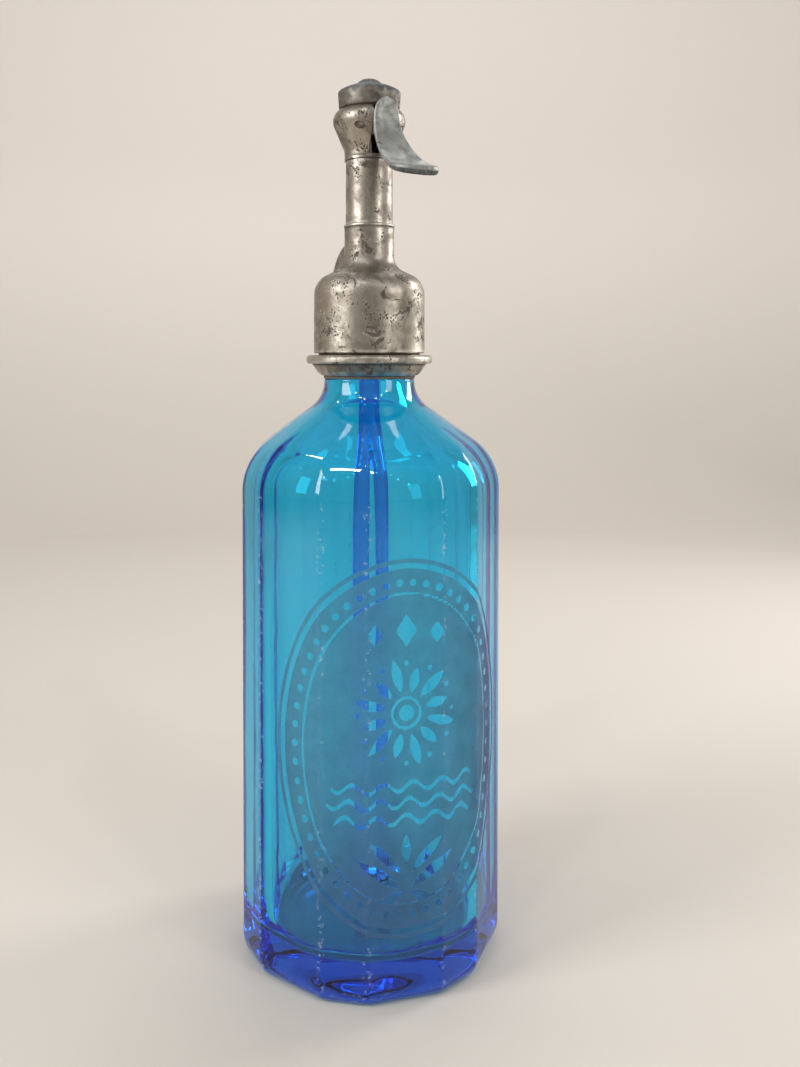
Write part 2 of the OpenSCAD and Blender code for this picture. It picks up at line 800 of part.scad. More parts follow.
// The finger is forked round the rod and lifts the flange above it.
module lever() {
    body_w = slot_w - 2 * slip;
    web_x = blade_x - 0.2;
    fork_end_x = -1.2;
    fork_w = 2 * (rod_r + slip + 0.1);
    dish_r = 26;
    dish_angle = bend_end - 6;
    dish_out = second_bend_r + dish_h - dish_r;
    color("slategray")
    difference() {
        union() {
            intersection() {
                translate([0, far / 2, 0]) rotate([90, 0, 0]) linear_extrude(far) blade_side();
                translate([blade_x, 0, nose_z])
                    rotate([0, 45, 0])
                        translate([0, 0, -far / 2]) linear_extrude(far) blade_front();
            }
            translate([0, body_w / 2, 0]) rotate([90, 0, 0]) linear_extrude(body_w) {
                translate([pivot_x, pivot_z]) circle(boss_r);
                polygon([
                    [pivot_x, pivot_z - boss_r], [web_x, pivot_z - boss_r + 0.4],
                    [web_x, pivot_z + boss_r + 2], [pivot_x, pivot_z + boss_r]
                ]);
                translate([fork_end_x, finger_top_z - finger_t])
                    square([pivot_x - fork_end_x, finger_t]);
            }
        }
        pin_hole(pin_r + running);
        translate([fork_end_x - 1, -fork_w / 2, finger_top_z - far / 2])
            cube([4.2, fork_w, far]);
        translate([
            second_centre[0] + dish_out * cos(dish_angle), 0,
            second_centre[1] + dish_out * sin(dish_angle)
        ]) sphere(dish_r);
    }
}

// The screwed cap: a tapered side, a rounded edge, a shallow dome and a button.
module cap_outline() {
    edge_r = 1.2;
    edge = [cap_r - edge_r, cap_z + cap_side_h];
    rise = cap_top_z - edge[1];
    dome_r = (edge[0] * edge[0] + rise * rise - edge_r * edge_r) / (2 * (rise - edge_r));
    dome = [0, cap_top_z - dome_r];
    outward = (edge - dome) / norm(edge - dome);
    button_ball_r = (button_r * button_r + button_h * button_h) / (2 * button_h);
    button_z = cap_top_z - button_r * button_r / (2 * dome_r);
    intersection() {
        translate(dome) circle(dome_r - hair, $fn = 180);
        polygon([
            [0, cap_z], [cap_r - cap_taper, cap_z], [cap_r, edge[1]], edge,
            edge + 3 * outward, [0, cap_top_z + 3]
        ]);
    }
    intersection() {
        translate(edge) circle(edge_r);
        square([far, 2 * far]);
    }
    intersection() {
        translate([0, button_z + button_h - button_ball_r]) circle(button_ball_r);
        translate([0, button_z - 0.5]) square([far, button_h + 1]);
    }
}

module cap() {
    spigot_top_r = chamber_bore_r + 0.9 - slip;
    color("slategray")
    difference() {
        union() {
            rotate_extrude() intersection() {
                cap_outline();
                translate([0, cap_z]) square(far);
            }
            translate([0, 0, cap_z - 2.9]) cylinder(h = 4, r = spigot_top_r);
        }
        translate([0, 0, cap_z - 4])
            cylinder(h = spring_ceiling_z - cap_z + 4, r = spring_room_r);
    }
}

module cap_washer() {
    color("saddlebrown")
    ring(chamber_r - bulge_round_r + 2, chamber_bore_r + 0.9, chamber_top_z, cap_washer_t);
}

bottle();
collar_packing();
collar_ring();
split_ring_left();
split_ring_right();
bottle_gasket();
tube_holder();
tube_seal();
dip_tube();
head_gasket();
bell();
valve_seat();
spout();
neck_tube();
gland_seal();
gland_nut();
valve_rod();
valve_washer();
washer_nut();
rod_head();
spring();
lever_chamber();
lever();
lever_pin();
cap();
cap_washer();
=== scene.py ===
import math

import bmesh
import bpy
import numpy as np
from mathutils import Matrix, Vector, noise


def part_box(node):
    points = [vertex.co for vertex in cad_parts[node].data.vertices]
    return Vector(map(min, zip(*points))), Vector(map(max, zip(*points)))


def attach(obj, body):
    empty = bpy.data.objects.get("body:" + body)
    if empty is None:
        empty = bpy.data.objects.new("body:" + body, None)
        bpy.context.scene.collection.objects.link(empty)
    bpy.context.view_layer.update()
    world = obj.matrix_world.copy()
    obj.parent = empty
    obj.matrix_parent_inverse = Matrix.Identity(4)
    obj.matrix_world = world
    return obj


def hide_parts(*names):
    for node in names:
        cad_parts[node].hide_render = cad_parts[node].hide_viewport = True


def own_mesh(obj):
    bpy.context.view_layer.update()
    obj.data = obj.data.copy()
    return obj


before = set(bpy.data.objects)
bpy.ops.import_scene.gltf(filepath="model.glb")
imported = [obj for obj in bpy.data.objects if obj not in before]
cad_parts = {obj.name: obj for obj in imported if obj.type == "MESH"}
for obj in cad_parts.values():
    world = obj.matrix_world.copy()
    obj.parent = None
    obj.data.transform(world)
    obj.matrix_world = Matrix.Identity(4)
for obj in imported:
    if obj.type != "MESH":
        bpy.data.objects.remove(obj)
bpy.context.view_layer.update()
mm = 0.001


def toLinear(hexColour):
    # sRGB hex to the linear colour that the shaders take
    parts = [int(hexColour[i:i + 2], 16) / 255 for i in (1, 3, 5)]
    return [c / 12.92 if c <= 0.04045 else ((c + 0.055) / 1.055) ** 2.4 for c in parts] + [1]


def addNode(tree, kind, values=None, links=None, **settings):
    # values and links go to the inputs; a node given as a link stands for its first output
    node = tree.nodes.new(kind)
    for name, value in settings.items():
        setattr(node, name, value)
    for name, value in (values or {}).items():
        node.inputs[name].default_value = value
    for name, source in (links or {}).items():
        socket = source.outputs[0] if hasattr(source, "outputs") else source
        tree.links.new(socket, node.inputs[name])
    return node


def startMaterial(name):
    material = bpy.data.materials.new(name)
    material.use_nodes = True
    material.node_tree.nodes.clear()
    return material, material.node_tree


def startGroup(name, *labels):
    # a Geometry Nodes tree with a number input for each label, and one for the finish
    tree = bpy.data.node_groups.new(name, "GeometryNodeTree")
    tree.interface.new_socket("Geometry", in_out="INPUT", socket_type="NodeSocketGeometry")
    for label in labels:
        tree.interface.new_socket(label, in_out="INPUT", socket_type="NodeSocketFloat")
    tree.interface.new_socket("Finish", in_out="INPUT", socket_type="NodeSocketMaterial")
    tree.interface.new_socket("Geometry", in_out="OUTPUT", socket_type="NodeSocketGeometry")
    return tree, addNode(tree, "NodeGroupInput")


def endGroup(tree, shape, given):
    smooth = addNode(tree, "GeometryNodeSetShadeSmooth", None, {0: shape})
    real = addNode(tree, "GeometryNodeRealizeInstances", None, {0: smooth})
    finish = addNode(tree, "GeometryNodeSetMaterial", None,
                     {"Geometry": real, "Material": given.outputs["Finish"]})
    addNode(tree, "NodeGroupOutput", None, {0: finish})


def setInputs(modifier, values):
    # a modifier's input goes by its socket's identifier
    for item in modifier.node_group.interface.items_tree:
        if item.item_type == "SOCKET" and item.in_out == "INPUT" and item.name in values:
            modifier[item.identifier] = values[item.name]


def showObject(name, data):
    shown = bpy.data.objects.new(name, data)
    bpy.context.scene.collection.objects.link(shown)
    return shown


def keepResult(piece):
    # the piece keeps what its modifiers make, as a plain mesh
    made = bpy.data.meshes.new_from_object(
        piece.evaluated_get(bpy.context.evaluated_depsgraph_get()))
    piece.modifiers.clear()
    piece.data = made


def perMm(size):
    # texture scale on Object coordinates for a pattern whose features are size mm wide
    return 1000 / size


# The glass of the bottle and of the dip tube
glassLook = {
    "absorb": "#00F5FD",  # what is left of white after 1 / density metres
    "skin": "#D8EFFF",  # a little blue at every surface that the light passes
    "density": 300,
    "ior": 1.52,
    "rough": 0.015,
    "frostRough": 0.72,
    "frostTransmission": 0.92,
    "frostTint": "#849DAA",
    "frostEdge": 0.25,  # mm over which the etching starts
    "frostRagged": 0.6,  # mm that its edge wanders
    "wornSize": 9.0,  # mm across a worn patch of the etching
    "wornLeast": 0.72,  # how much of the etching is left in such a patch
    "grain": 0.5,  # mm between the grains of the etching, coarser than real so that they show
    "grainDepth": 0.04,
    "ripple": 14.0,  # mm between the ripples of the pressed surface
    "rippleDepth": 0.35,
    "scuff": 1.6,  # mm across a scuff on a ridge
    "scuffFrom": (0.56, 0.66),  # values of its noise between which a scuff starts
    "scuffTint": "#DCEBF2",
    "scuffCover": 0.45,
    "pitSize": 1.5,  # mm between the cells that may hold a pit
    "pitShare": 0.16,  # of the cells hold one
    "pitOnRidge": 0.25,  # more of them on the ridges
    "pitDepth": 1.0,
}


def pressedBlueGlass(look):
    # Pressed soda-lime glass coloured with copper and cobalt: clear, rippled and pitted, with
    # an etched design that scatters the light. Thin glass is turquoise and thick glass deep blue.
    material, tree = startMaterial("pressedBlueGlass")
    coords = addNode(tree, "ShaderNodeTexCoord").outputs["Object"]
    frost = addNode(tree, "ShaderNodeAttribute", attribute_name="frost").outputs["Fac"]
    ridge = addNode(tree, "ShaderNodeAttribute", attribute_name="ridge").outputs["Fac"]
    grain = addNode(tree, "ShaderNodeTexNoise", {"Scale": perMm(look["grain"]), "Detail": 2},
                    {"Vector": coords})
    worn = addNode(tree, "ShaderNodeTexNoise",
                   {"Scale": perMm(look["wornSize"]), "Detail": 5, "Roughness": 0.7},
                   {"Vector": coords})
    raggedEdge = addNode(tree, "ShaderNodeMath", {1: 0.5, 2: 0.0}, {0: worn}, operation="SUBTRACT")
    edge = addNode(tree, "ShaderNodeMath", {1: look["frostRagged"]}, {0: raggedEdge, 2: frost},
                   operation="MULTIPLY_ADD")
    half = look["frostEdge"] / 2
    etched = addNode(tree, "ShaderNodeMapRange",
                     {"From Min": -half, "From Max": half, "To Min": 0, "To Max": 1},
                     {"Value": edge})
    patchy = addNode(tree, "ShaderNodeMapRange",
                     {"From Min": 0.3, "From Max": 0.7, "To Min": look["wornLeast"], "To Max": 1},
                     {"Value": worn})
    etching = addNode(tree, "ShaderNodeMath", None, {0: etched, 1: patchy}, operation="MULTIPLY")
    # the ridges are scuffed by other bottles in a crate
    scuff = addNode(tree, "ShaderNodeTexNoise",
                    {"Scale": perMm(look["scuff"]), "Detail": 4, "Roughness": 0.75},
                    {"Vector": coords})
    scuffLow, scuffHigh = look["scuffFrom"]
    scuffs = addNode(tree, "ShaderNodeMapRange", {"From Min": scuffLow, "From Max": scuffHigh},
                     {"Value": scuff})
    rubbed = addNode(tree, "ShaderNodeMath", {2: 0.0}, {0: scuffs, 1: ridge},
                     operation="MULTIPLY", use_clamp=True)
    mask = addNode(tree, "ShaderNodeMath", None, {0: etching, 1: rubbed}, operation="MAXIMUM")
    rough = addNode(tree, "ShaderNodeMapRange",
                    {"To Min": look["rough"], "To Max": look["frostRough"]},
                    {"Value": mask})
    passing = addNode(tree, "ShaderNodeMapRange",
                      {"To Min": 1.0, "To Max": look["frostTransmission"]},
                      {"Value": mask})
    tint = addNode(tree, "ShaderNodeMix",
                   {"A": toLinear(look["skin"]), "B": toLinear(look["frostTint"])},
                   {"Factor": mask}, data_type="RGBA")
    whitened = addNode(tree, "ShaderNodeMix", {"B": toLinear(look["scuffTint"])},
                       {"A": tint.outputs["Result"], "Factor": rubbed},
                       data_type="RGBA")
    clearness = addNode(tree, "ShaderNodeMath", {1: -look["scuffCover"]},
                        {0: rubbed, 2: passing}, operation="MULTIPLY_ADD")
    # ripples of the mould, then pits and scratches that gather on the ridges
    ripple = addNode(tree, "ShaderNodeTexNoise",
                     {"Scale": perMm(look["ripple"]), "Detail": 1, "Roughness": 0.4},
                     {"Vector": coords})
    ripples = addNode(tree, "ShaderNodeBump", {"Strength": 0.5, "Distance": look["rippleDepth"] * mm},
                      {"Height": ripple})
    pit = addNode(tree, "ShaderNodeTexVoronoi", {"Scale": perMm(look["pitSize"])},
                  {"Vector": coords})
    chance = addNode(tree, "ShaderNodeSeparateColor", None, {0: pit.outputs["Color"]})
    onRidge = addNode(tree, "ShaderNodeMath", {1: look["pitOnRidge"]},
                      {0: ridge, 2: chance}, operation="MULTIPLY_ADD")
    pitRadius = addNode(tree, "ShaderNodeMath", {1: 1 - look["pitShare"]},
                        {0: onRidge}, operation="SUBTRACT")
    pitDepth = addNode(tree, "ShaderNodeMath", None, {0: pitRadius, 1: pit}, operation="SUBTRACT")
    dimple = addNode(tree, "ShaderNodeMath", {1: 0.0}, {0: pitDepth}, operation="MAXIMUM")
    pits = addNode(tree, "ShaderNodeBump", {"Strength": 0.6, "Distance": look["pitDepth"] * mm},
                   {"Height": dimple, "Normal": ripples},
                   invert=True)
    frostGrain = addNode(tree, "ShaderNodeMath", None, {0: grain, 1: mask}, operation="MULTIPLY")
    grains = addNode(tree, "ShaderNodeBump", {"Strength": 0.25, "Distance": look["grainDepth"] * mm},
                     {"Height": frostGrain, "Normal": pits})
    surface = addNode(tree, "ShaderNodeBsdfPrincipled", {"IOR": look["ior"]}, {
        "Base Color": whitened.outputs["Result"], "Roughness": rough,
        "Transmission Weight": clearness, "Normal": grains,
    })
    depth = addNode(tree, "ShaderNodeVolumeAbsorption",
                    {"Color": toLinear(look["absorb"]), "Density": look["density"]})
    addNode(tree, "ShaderNodeOutputMaterial", None, {"Surface": surface, "Volume": depth})
    return material


tubeLook = {"absorb": "#20A0FA", "density": 420, "ior": 1.52, "rough": 0.03,
            "streak": 1.2, "streakStretch": 0.06, "streakDepth": 0.05}  # mm, share, mm


def drawnCobaltGlass(look):
    # Drawn cobalt glass tube: smooth, even and a strong blue even where it is thin.
    material, tree = startMaterial("drawnCobaltGlass")
    coords = addNode(tree, "ShaderNodeTexCoord").outputs["Object"]
    draw = addNode(tree, "ShaderNodeMapping", {"Scale": (1, 1, look["streakStretch"])},
                   {"Vector": coords})
    streak = addNode(tree, "ShaderNodeTexNoise", {"Scale": perMm(look["streak"]), "Detail": 2},
                     {"Vector": draw})
    streaks = addNode(tree, "ShaderNodeBump",
                      {"Strength": 0.2, "Distance": look["streakDepth"] * mm},
                      {"Height": streak})
    surface = addNode(tree, "ShaderNodeBsdfPrincipled",
                      {"IOR": look["ior"], "Roughness": look["rough"], "Transmission Weight": 1,
                       "Base Color": toLinear("#FFFFFF")},
                      {"Normal": streaks})
    depth = addNode(tree, "ShaderNodeVolumeAbsorption",
                    {"Color": toLinear(look["absorb"]), "Density": look["density"]})
    addNode(tree, "ShaderNodeOutputMaterial", None, {"Surface": surface, "Volume": depth})
    return material


# Metals and soft stock. Sizes are in mm, and pitCover and scar set how much is pitted or scarred
# cast and turned pewter: warm grey with a soft shine, pitted and scarred
castPewterLook = {
    "clean": "#ABA397", "dull": "#776F65", "stainAndShade": "#4A443C", "bright": "#D8D3CA",
    "rough": (0.24, 0.46), "cloud": 7.0, "pit": 1.0, "pitCover": 0.15, "scar": 0.578, "dent": 7.0,
    "grain": 0.45, "pitDepth": 0.5,
}
# pewter cast smooth and rubbed by thumbs: blue-grey, duller and with few pits
leverPewterLook = {
    "clean": "#9D9D99", "dull": "#6C6F6E", "stainAndShade": "#3F4445", "bright": "#ABABA7",
    "rough": (0.42, 0.58), "cloud": 5.5, "pit": 1.2, "pitCover": 0.04, "scar": 0.63, "dent": 6.0,
    "grain": 0.5, "pitDepth": 0.3,
}
# turned pewter left to tarnish: darker, with a black skin on the dome that is part tarnish and part
# painted shade
capPewterLook = {
    "clean": "#857F75", "dull": "#5A5650", "stainAndShade": "#55595C", "bright": "#A29D94",
    "rough": (0.38, 0.60), "cloud": 5.0, "pit": 1.0, "pitCover": 0.14, "scar": 0.58, "dent": 6.0,
    "grain": 0.45, "pitDepth": 0.4,
}
pewterWear = {
    "swirl": 1.6, "pull": 1.4,  # the pits' edges are pulled about by this swirl
    "scarSize": 9.0, "scarEdge": 0.02, "scarDark": 0.85,
    "groupSize": 8.0, "groupGain": 4, "pitEdge": 0.16,
    "dirtAndShadeGain": 1.6, "pitMetallic": 0.55, "grainRough": 0.16, "pitRough": 0.25,
    "dentDepth": 0.5, "grainDepth": 0.06, "holeDepth": 0.25,
}


def wornPewter(name, look, wearing):
    # Cast and turned pewter, handled for decades: soft grey shine with darker clouds, black
    # pits, polished edges, dirt in the corners and painted shade where a piece's mesh marks it.
    material, tree = startMaterial(name)
    coords = addNode(tree, "ShaderNodeTexCoord").outputs["Object"]
    cloud = addNode(tree, "ShaderNodeTexNoise",
                    {"Scale": perMm(look["cloud"]), "Detail": 6, "Roughness": 0.62,
                     "Distortion": 0.6}, {"Vector": coords})
    clouds = addNode(tree, "ShaderNodeMapRange",
                     {"From Min": 0.38, "From Max": 0.66}, {"Value": cloud})
    grain = addNode(tree, "ShaderNodeTexNoise",
                    {"Scale": perMm(look["grain"]), "Detail": 3, "Roughness": 0.7},
                    {"Vector": coords})
    # pits with ragged edges, in groups, and longer scars where the skin has come away
    swirl = addNode(tree, "ShaderNodeTexNoise", {"Scale": perMm(wearing["swirl"]), "Detail": 3},
                    {"Vector": coords})
    pulled = addNode(tree, "ShaderNodeVectorMath", {1: [wearing["pull"] * mm] * 3},
                     {0: swirl.outputs["Color"], 2: coords}, operation="MULTIPLY_ADD")
    pit = addNode(tree, "ShaderNodeTexVoronoi", {"Scale": perMm(look["pit"])}, {"Vector": pulled})
    scar = addNode(tree, "ShaderNodeTexNoise",
                   {"Scale": perMm(wearing["scarSize"]), "Detail": 8, "Roughness": 0.72,
                    "Distortion": 0.8},
                   {"Vector": coords})
    scars = addNode(tree, "ShaderNodeMapRange",
                    {"From Min": look["scar"], "From Max": look["scar"] + wearing["scarEdge"],
                     "To Min": 0.0, "To Max": wearing["scarDark"]}, {"Value": scar})
    group = addNode(tree, "ShaderNodeTexNoise", {"Scale": perMm(wearing["groupSize"]), "Detail": 3},
                    {"Vector": coords})
    cover = addNode(tree, "ShaderNodeMapRange",
                    {"From Min": 0.42, "From Max": 0.72, "To Min": 0.0,
                     "To Max": look["pitCover"] * wearing["groupGain"]},
                    {"Value": group})
    pitEdge = addNode(tree, "ShaderNodeMath", None, {0: cover, 1: pit}, operation="SUBTRACT")
    dots = addNode(tree, "ShaderNodeMapRange", {"From Min": 0.0, "From Max": wearing["pitEdge"]},
                   {"Value": pitEdge})
    pitted = addNode(tree, "ShaderNodeMath", None, {0: dots, 1: scars}, operation="MAXIMUM")
    # a mark on the mesh darkens it: dirt in hollows, painted shade on the lever's underside, and
    # tarnish with painted shade on the cap's dome
    grimeAndShade = addNode(tree, "ShaderNodeAttribute", attribute_name="grimeAndShade").outputs["Fac"]
    wear = addNode(tree, "ShaderNodeAttribute", attribute_name="wear").outputs["Fac"]
    base = addNode(tree, "ShaderNodeMix",
                   {"A": toLinear(look["clean"]), "B": toLinear(look["dull"])},
                   {"Factor": clouds}, data_type="RGBA")
    polished = addNode(tree, "ShaderNodeMix", {"B": toLinear(look["bright"])},
                       {"A": base.outputs["Result"], "Factor": wear}, data_type="RGBA")
    dirtAndShade = addNode(tree, "ShaderNodeMath", {2: 0.0},
                    {0: grimeAndShade, 1: grain}, operation="MULTIPLY", use_clamp=True)
    dirtAndShadeBoosted = addNode(tree, "ShaderNodeMath", {1: wearing["dirtAndShadeGain"]}, {0: dirtAndShade},
                      operation="MULTIPLY", use_clamp=True)
    dark = addNode(tree, "ShaderNodeMath", None, {0: pitted, 1: dirtAndShadeBoosted}, operation="MAXIMUM")
    # the stain colour darkens pits, scars and dirt, and also paints the shade
    colour = addNode(tree, "ShaderNodeMix", {"B": toLinear(look["stainAndShade"])},
                     {"A": polished.outputs["Result"], "Factor": dark},
                     data_type="RGBA")
    low, high = look["rough"]
    rough = addNode(tree, "ShaderNodeMapRange", {"To Min": low, "To Max": high}, {"Value": clouds})
    grainRough = addNode(tree, "ShaderNodeMath", {1: wearing["grainRough"]},
                         {0: grain, 2: rough},
                         operation="MULTIPLY_ADD")
    pitRough = addNode(tree, "ShaderNodeMath", {1: wearing["pitRough"]},
                       {0: dark, 2: grainRough}, operation="MULTIPLY_ADD")
    metal = addNode(tree, "ShaderNodeMapRange", {"To Min": 1.0, "To Max": wearing["pitMetallic"]},
                    {"Value": dark})
    dent = addNode(tree, "ShaderNodeTexNoise",
                   {"Scale": perMm(look["dent"]), "Detail": 2, "Roughness": 0.5},
                   {"Vector": coords})
    dents = addNode(tree, "ShaderNodeBump",
                    {"Strength": 0.5, "Distance": wearing["dentDepth"] * mm},
                    {"Height": dent})
    grains = addNode(tree, "ShaderNodeBump",
                     {"Strength": 0.5, "Distance": wearing["grainDepth"] * mm},
                     {"Height": grain, "Normal": dents})
    holes = addNode(tree, "ShaderNodeBump",
                    {"Strength": look["pitDepth"], "Distance": wearing["holeDepth"] * mm},
                    {"Height": pitted, "Normal": grains},
                    invert=True)
    surface = addNode(tree, "ShaderNodeBsdfPrincipled", None, {
        "Base Color": colour.outputs["Result"], "Roughness": pitRough,
        "Metallic": metal, "Normal": holes,
    })
    addNode(tree, "ShaderNodeOutputMaterial", None, {"Surface": surface})
    return material


innerMetals = {
    # turned brass: warm yellow with fine rings from the lathe
    "turnedBrass": {"clean": "#C9A35A", "dull": "#8F6F35", "rough": 0.35, "ring": 0.4},
    # drawn steel: plain grey with a soft shine
    "drawnSteel": {"clean": "#A8A8A6", "dull": "#767472", "rough": 0.30, "ring": 0.3},
    # tarnished steel of the pin's end: brownish and nearly matt
    "tarnishedSteel": {"clean": "#8B8378", "dull": "#5F584E", "rough": 0.50, "ring": 0.3},
}


def turnedMetal(name, look):
    # Turned or drawn metal: rings of tool marks, look["ring"] mm apart, under a little tarnish.
    material, tree = startMaterial(name)
    coords = addNode(tree, "ShaderNodeTexCoord").outputs["Object"]
    tarnish = addNode(tree, "ShaderNodeTexNoise", {"Scale": perMm(4), "Detail": 4},
                      {"Vector": coords})
    colour = addNode(tree, "ShaderNodeMix",
                     {"A": toLinear(look["clean"]), "B": toLinear(look["dull"])},
                     {"Factor": tarnish}, data_type="RGBA")
    ringScale = perMm(look["ring"]) / 6.28  # this texture counts its bands in radians
    ring = addNode(tree, "ShaderNodeTexWave", {"Scale": ringScale, "Distortion": 0.3},
                   {"Vector": coords}, bands_direction="Z")
    rings = addNode(tree, "ShaderNodeBump", {"Strength": 0.3, "Distance": 0.02 * mm},
                    {"Height": ring.outputs["Fac"]})
    surface = addNode(tree, "ShaderNodeBsdfPrincipled", {"Metallic": 1, "Roughness": look["rough"]},
                      {"Base Color": colour.outputs["Result"], "Normal": rings})
    addNode(tree, "ShaderNodeOutputMaterial", None, {"Surface": surface})
    return material


softLooks = {
    # moulded rubber: black and matt
    "pressedRubber": {"light": "#1B1A19", "dark": "#2A2725", "rough": 0.75, "grain": 0.4,
                      "depth": 0.05},
    # perished rubber: gone grey, crazed and chalky
    "perishedRubber": {"light": "#7A736B", "dark": "#4C4640", "rough": 0.85, "grain": 0.5,
                       "depth": 0.12},
    # turned ivory plastic: creamy with a dull polish
    "ivoryPlastic": {"light": "#E9E1CC", "dark": "#D3C8AC", "rough": 0.35, "grain": 0.8,
                     "depth": 0.02},
    # tanned leather: brown with an open grain
    "tannedLeather": {"light": "#5A3D28", "dark": "#38261A", "rough": 0.7, "grain": 0.6,
                      "depth": 0.1},
}


def softStock(name, look):
    # Rubber, leather and plastic: slightly mottled, with a grain of look["grain"] mm.
    material, tree = startMaterial(name)
    coords = addNode(tree, "ShaderNodeTexCoord").outputs["Object"]
    mottle = addNode(tree, "ShaderNodeTexNoise", {"Scale": perMm(5), "Detail": 5},
                     {"Vector": coords})
    colour = addNode(tree, "ShaderNodeMix",
                     {"A": toLinear(look["light"]), "B": toLinear(look["dark"])},
                     {"Factor": mottle}, data_type="RGBA")
    grain = addNode(tree, "ShaderNodeTexNoise", {"Scale": perMm(look["grain"]), "Detail": 3},
                    {"Vector": coords})
    bump = addNode(tree, "ShaderNodeBump", {"Strength": 0.5, "Distance": look["depth"] * mm},
                   {"Height": grain})
    surface = addNode(tree, "ShaderNodeBsdfPrincipled", {"Roughness": look["rough"], "IOR": 1.5},
                      {"Base Color": colour.outputs["Result"], "Normal": bump})
    addNode(tree, "ShaderNodeOutputMaterial", None, {"Surface": surface})
    return material


blueGlass = pressedBlueGlass(glassLook)
cobaltGlass = drawnCobaltGlass(tubeLook)
castPewter = wornPewter("castPewter", castPewterLook, pewterWear)
leverPewter = wornPewter("leverPewter", leverPewterLook, pewterWear)
capPewter = wornPewter("capPewter", capPewterLook, pewterWear)
stock = {name: turnedMetal(name, look) for name, look in innerMetals.items()}
stock.update({name: softStock(name, look) for name, look in softLooks.items()})
print("materials made")


# Sections in mm and the meshes made from them
def arcPoints(centre, radius, start, end, step=4):
    count = max(2, math.ceil(abs(end - start) / step))
    angles = [math.radians(start + (end - start) * i / count) for i in range(count + 1)]
    return [(centre[0] + radius * math.cos(a), centre[1] + radius * math.sin(a)) for a in angles]


def roundedSection(corners, arcStep=12, maxRun=1.5):
    # corners are (r, z, rounding). Gives the points and how sharply each bends: above 0 where
    # it stands out and gets rubbed, below 0 where it is hollow and keeps dirt
    flat = [(c[0], c[1]) for c in corners]
    area = sum(a[0] * b[1] - b[0] * a[1] for a, b in zip(flat, flat[1:] + flat[:1]))
    points, bends = [], []
    for i, (r, z, rounding) in enumerate(corners):
        here = Vector((r, z))
        back = Vector(flat[i - 1]) - here
        ahead = Vector(flat[(i + 1) % len(flat)]) - here
        turn = back.normalized().angle(ahead.normalized(), math.pi)
        if rounding <= 0 or turn > math.radians(177):
            points.append((r, z))
            bends.append(0)
            continue
        reach = min(rounding / math.tan(turn / 2), 0.49 * back.length, 0.49 * ahead.length)
        radius = reach * math.tan(turn / 2)
        middle = (back.normalized() + ahead.normalized()).normalized()
        centre = here + middle * radius / math.sin(turn / 2)
        first = here + back.normalized() * reach - centre
        last = here + ahead.normalized() * reach - centre
        start = math.atan2(first.y, first.x)
        sweep = math.atan2(last.y, last.x) - start
        sweep = (sweep + math.pi) % (2 * math.pi) - math.pi
        outward = 1 if sweep * area > 0 else -1
        count = max(2, math.ceil(abs(math.degrees(sweep)) / arcStep))
        for k in range(count + 1):
            a = start + sweep * k / count
            points.append((centre.x + radius * math.cos(a), centre.y + radius * math.sin(a)))
            bends.append(outward / max(radius, 0.3))
    fullPoints, fullBends = [], []
    for i, point in enumerate(points):
        after = points[(i + 1) % len(points)]
        fullPoints.append(point)
        fullBends.append(bends[i])
        run = math.dist(point, after)
        extra = int(run / maxRun) if run > maxRun else 0
        for k in range(1, extra + 1):
            t = k / (extra + 1)
            fullPoints.append((point[0] + (after[0] - point[0]) * t,
                               point[1] + (after[1] - point[1]) * t))
            fullBends.append(0)
    return fullPoints, fullBends


def meshFrom(name, points, faces, material, marks=None):
    mesh = bpy.data.meshes.new(name)
    mesh.from_pydata([tuple(p) for p in points], [], faces)
    for mark, values in (marks or {}).items():
        mesh.attributes.new(mark, "FLOAT", "POINT").data.foreach_set("value", values)
    work = bmesh.new()
    work.from_mesh(mesh)
    bmesh.ops.remove_doubles(work, verts=work.verts, dist=1e-7)
    bmesh.ops.recalc_face_normals(work, faces=work.faces)
    work.to_mesh(mesh)
    work.free()
    mesh.shade_smooth()
    mesh.set_sharp_from_angle(angle=math.radians(50))
    mesh.materials.append(material)
    return showObject(name, mesh)


def bandFaces(rows):
    # faces between each row of points and the next; a row of one point closes the shape
    faces = []
    for low, high in zip(rows, rows[1:]):
        count = max(len(low), len(high))
        for k in range(count if count > 1 else 0):
            n = (k + 1) % count
            if len(low) == 1:
                faces.append((low[0], high[n], high[k]))
            elif len(high) == 1:
                faces.append((low[k], low[n], high[0]))
            else:
                faces.append((low[k], low[n], high[n], high[k]))
    return faces


def place(piece, body, slot, *replaced):
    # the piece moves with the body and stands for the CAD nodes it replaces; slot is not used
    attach(piece, body)
    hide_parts(*replaced)
    return piece


handling = {"dentSize": 7, "rubSize": 3, "rubSpread": 0.9, "wear": 0.55, "grimeAndShade": 1.2}


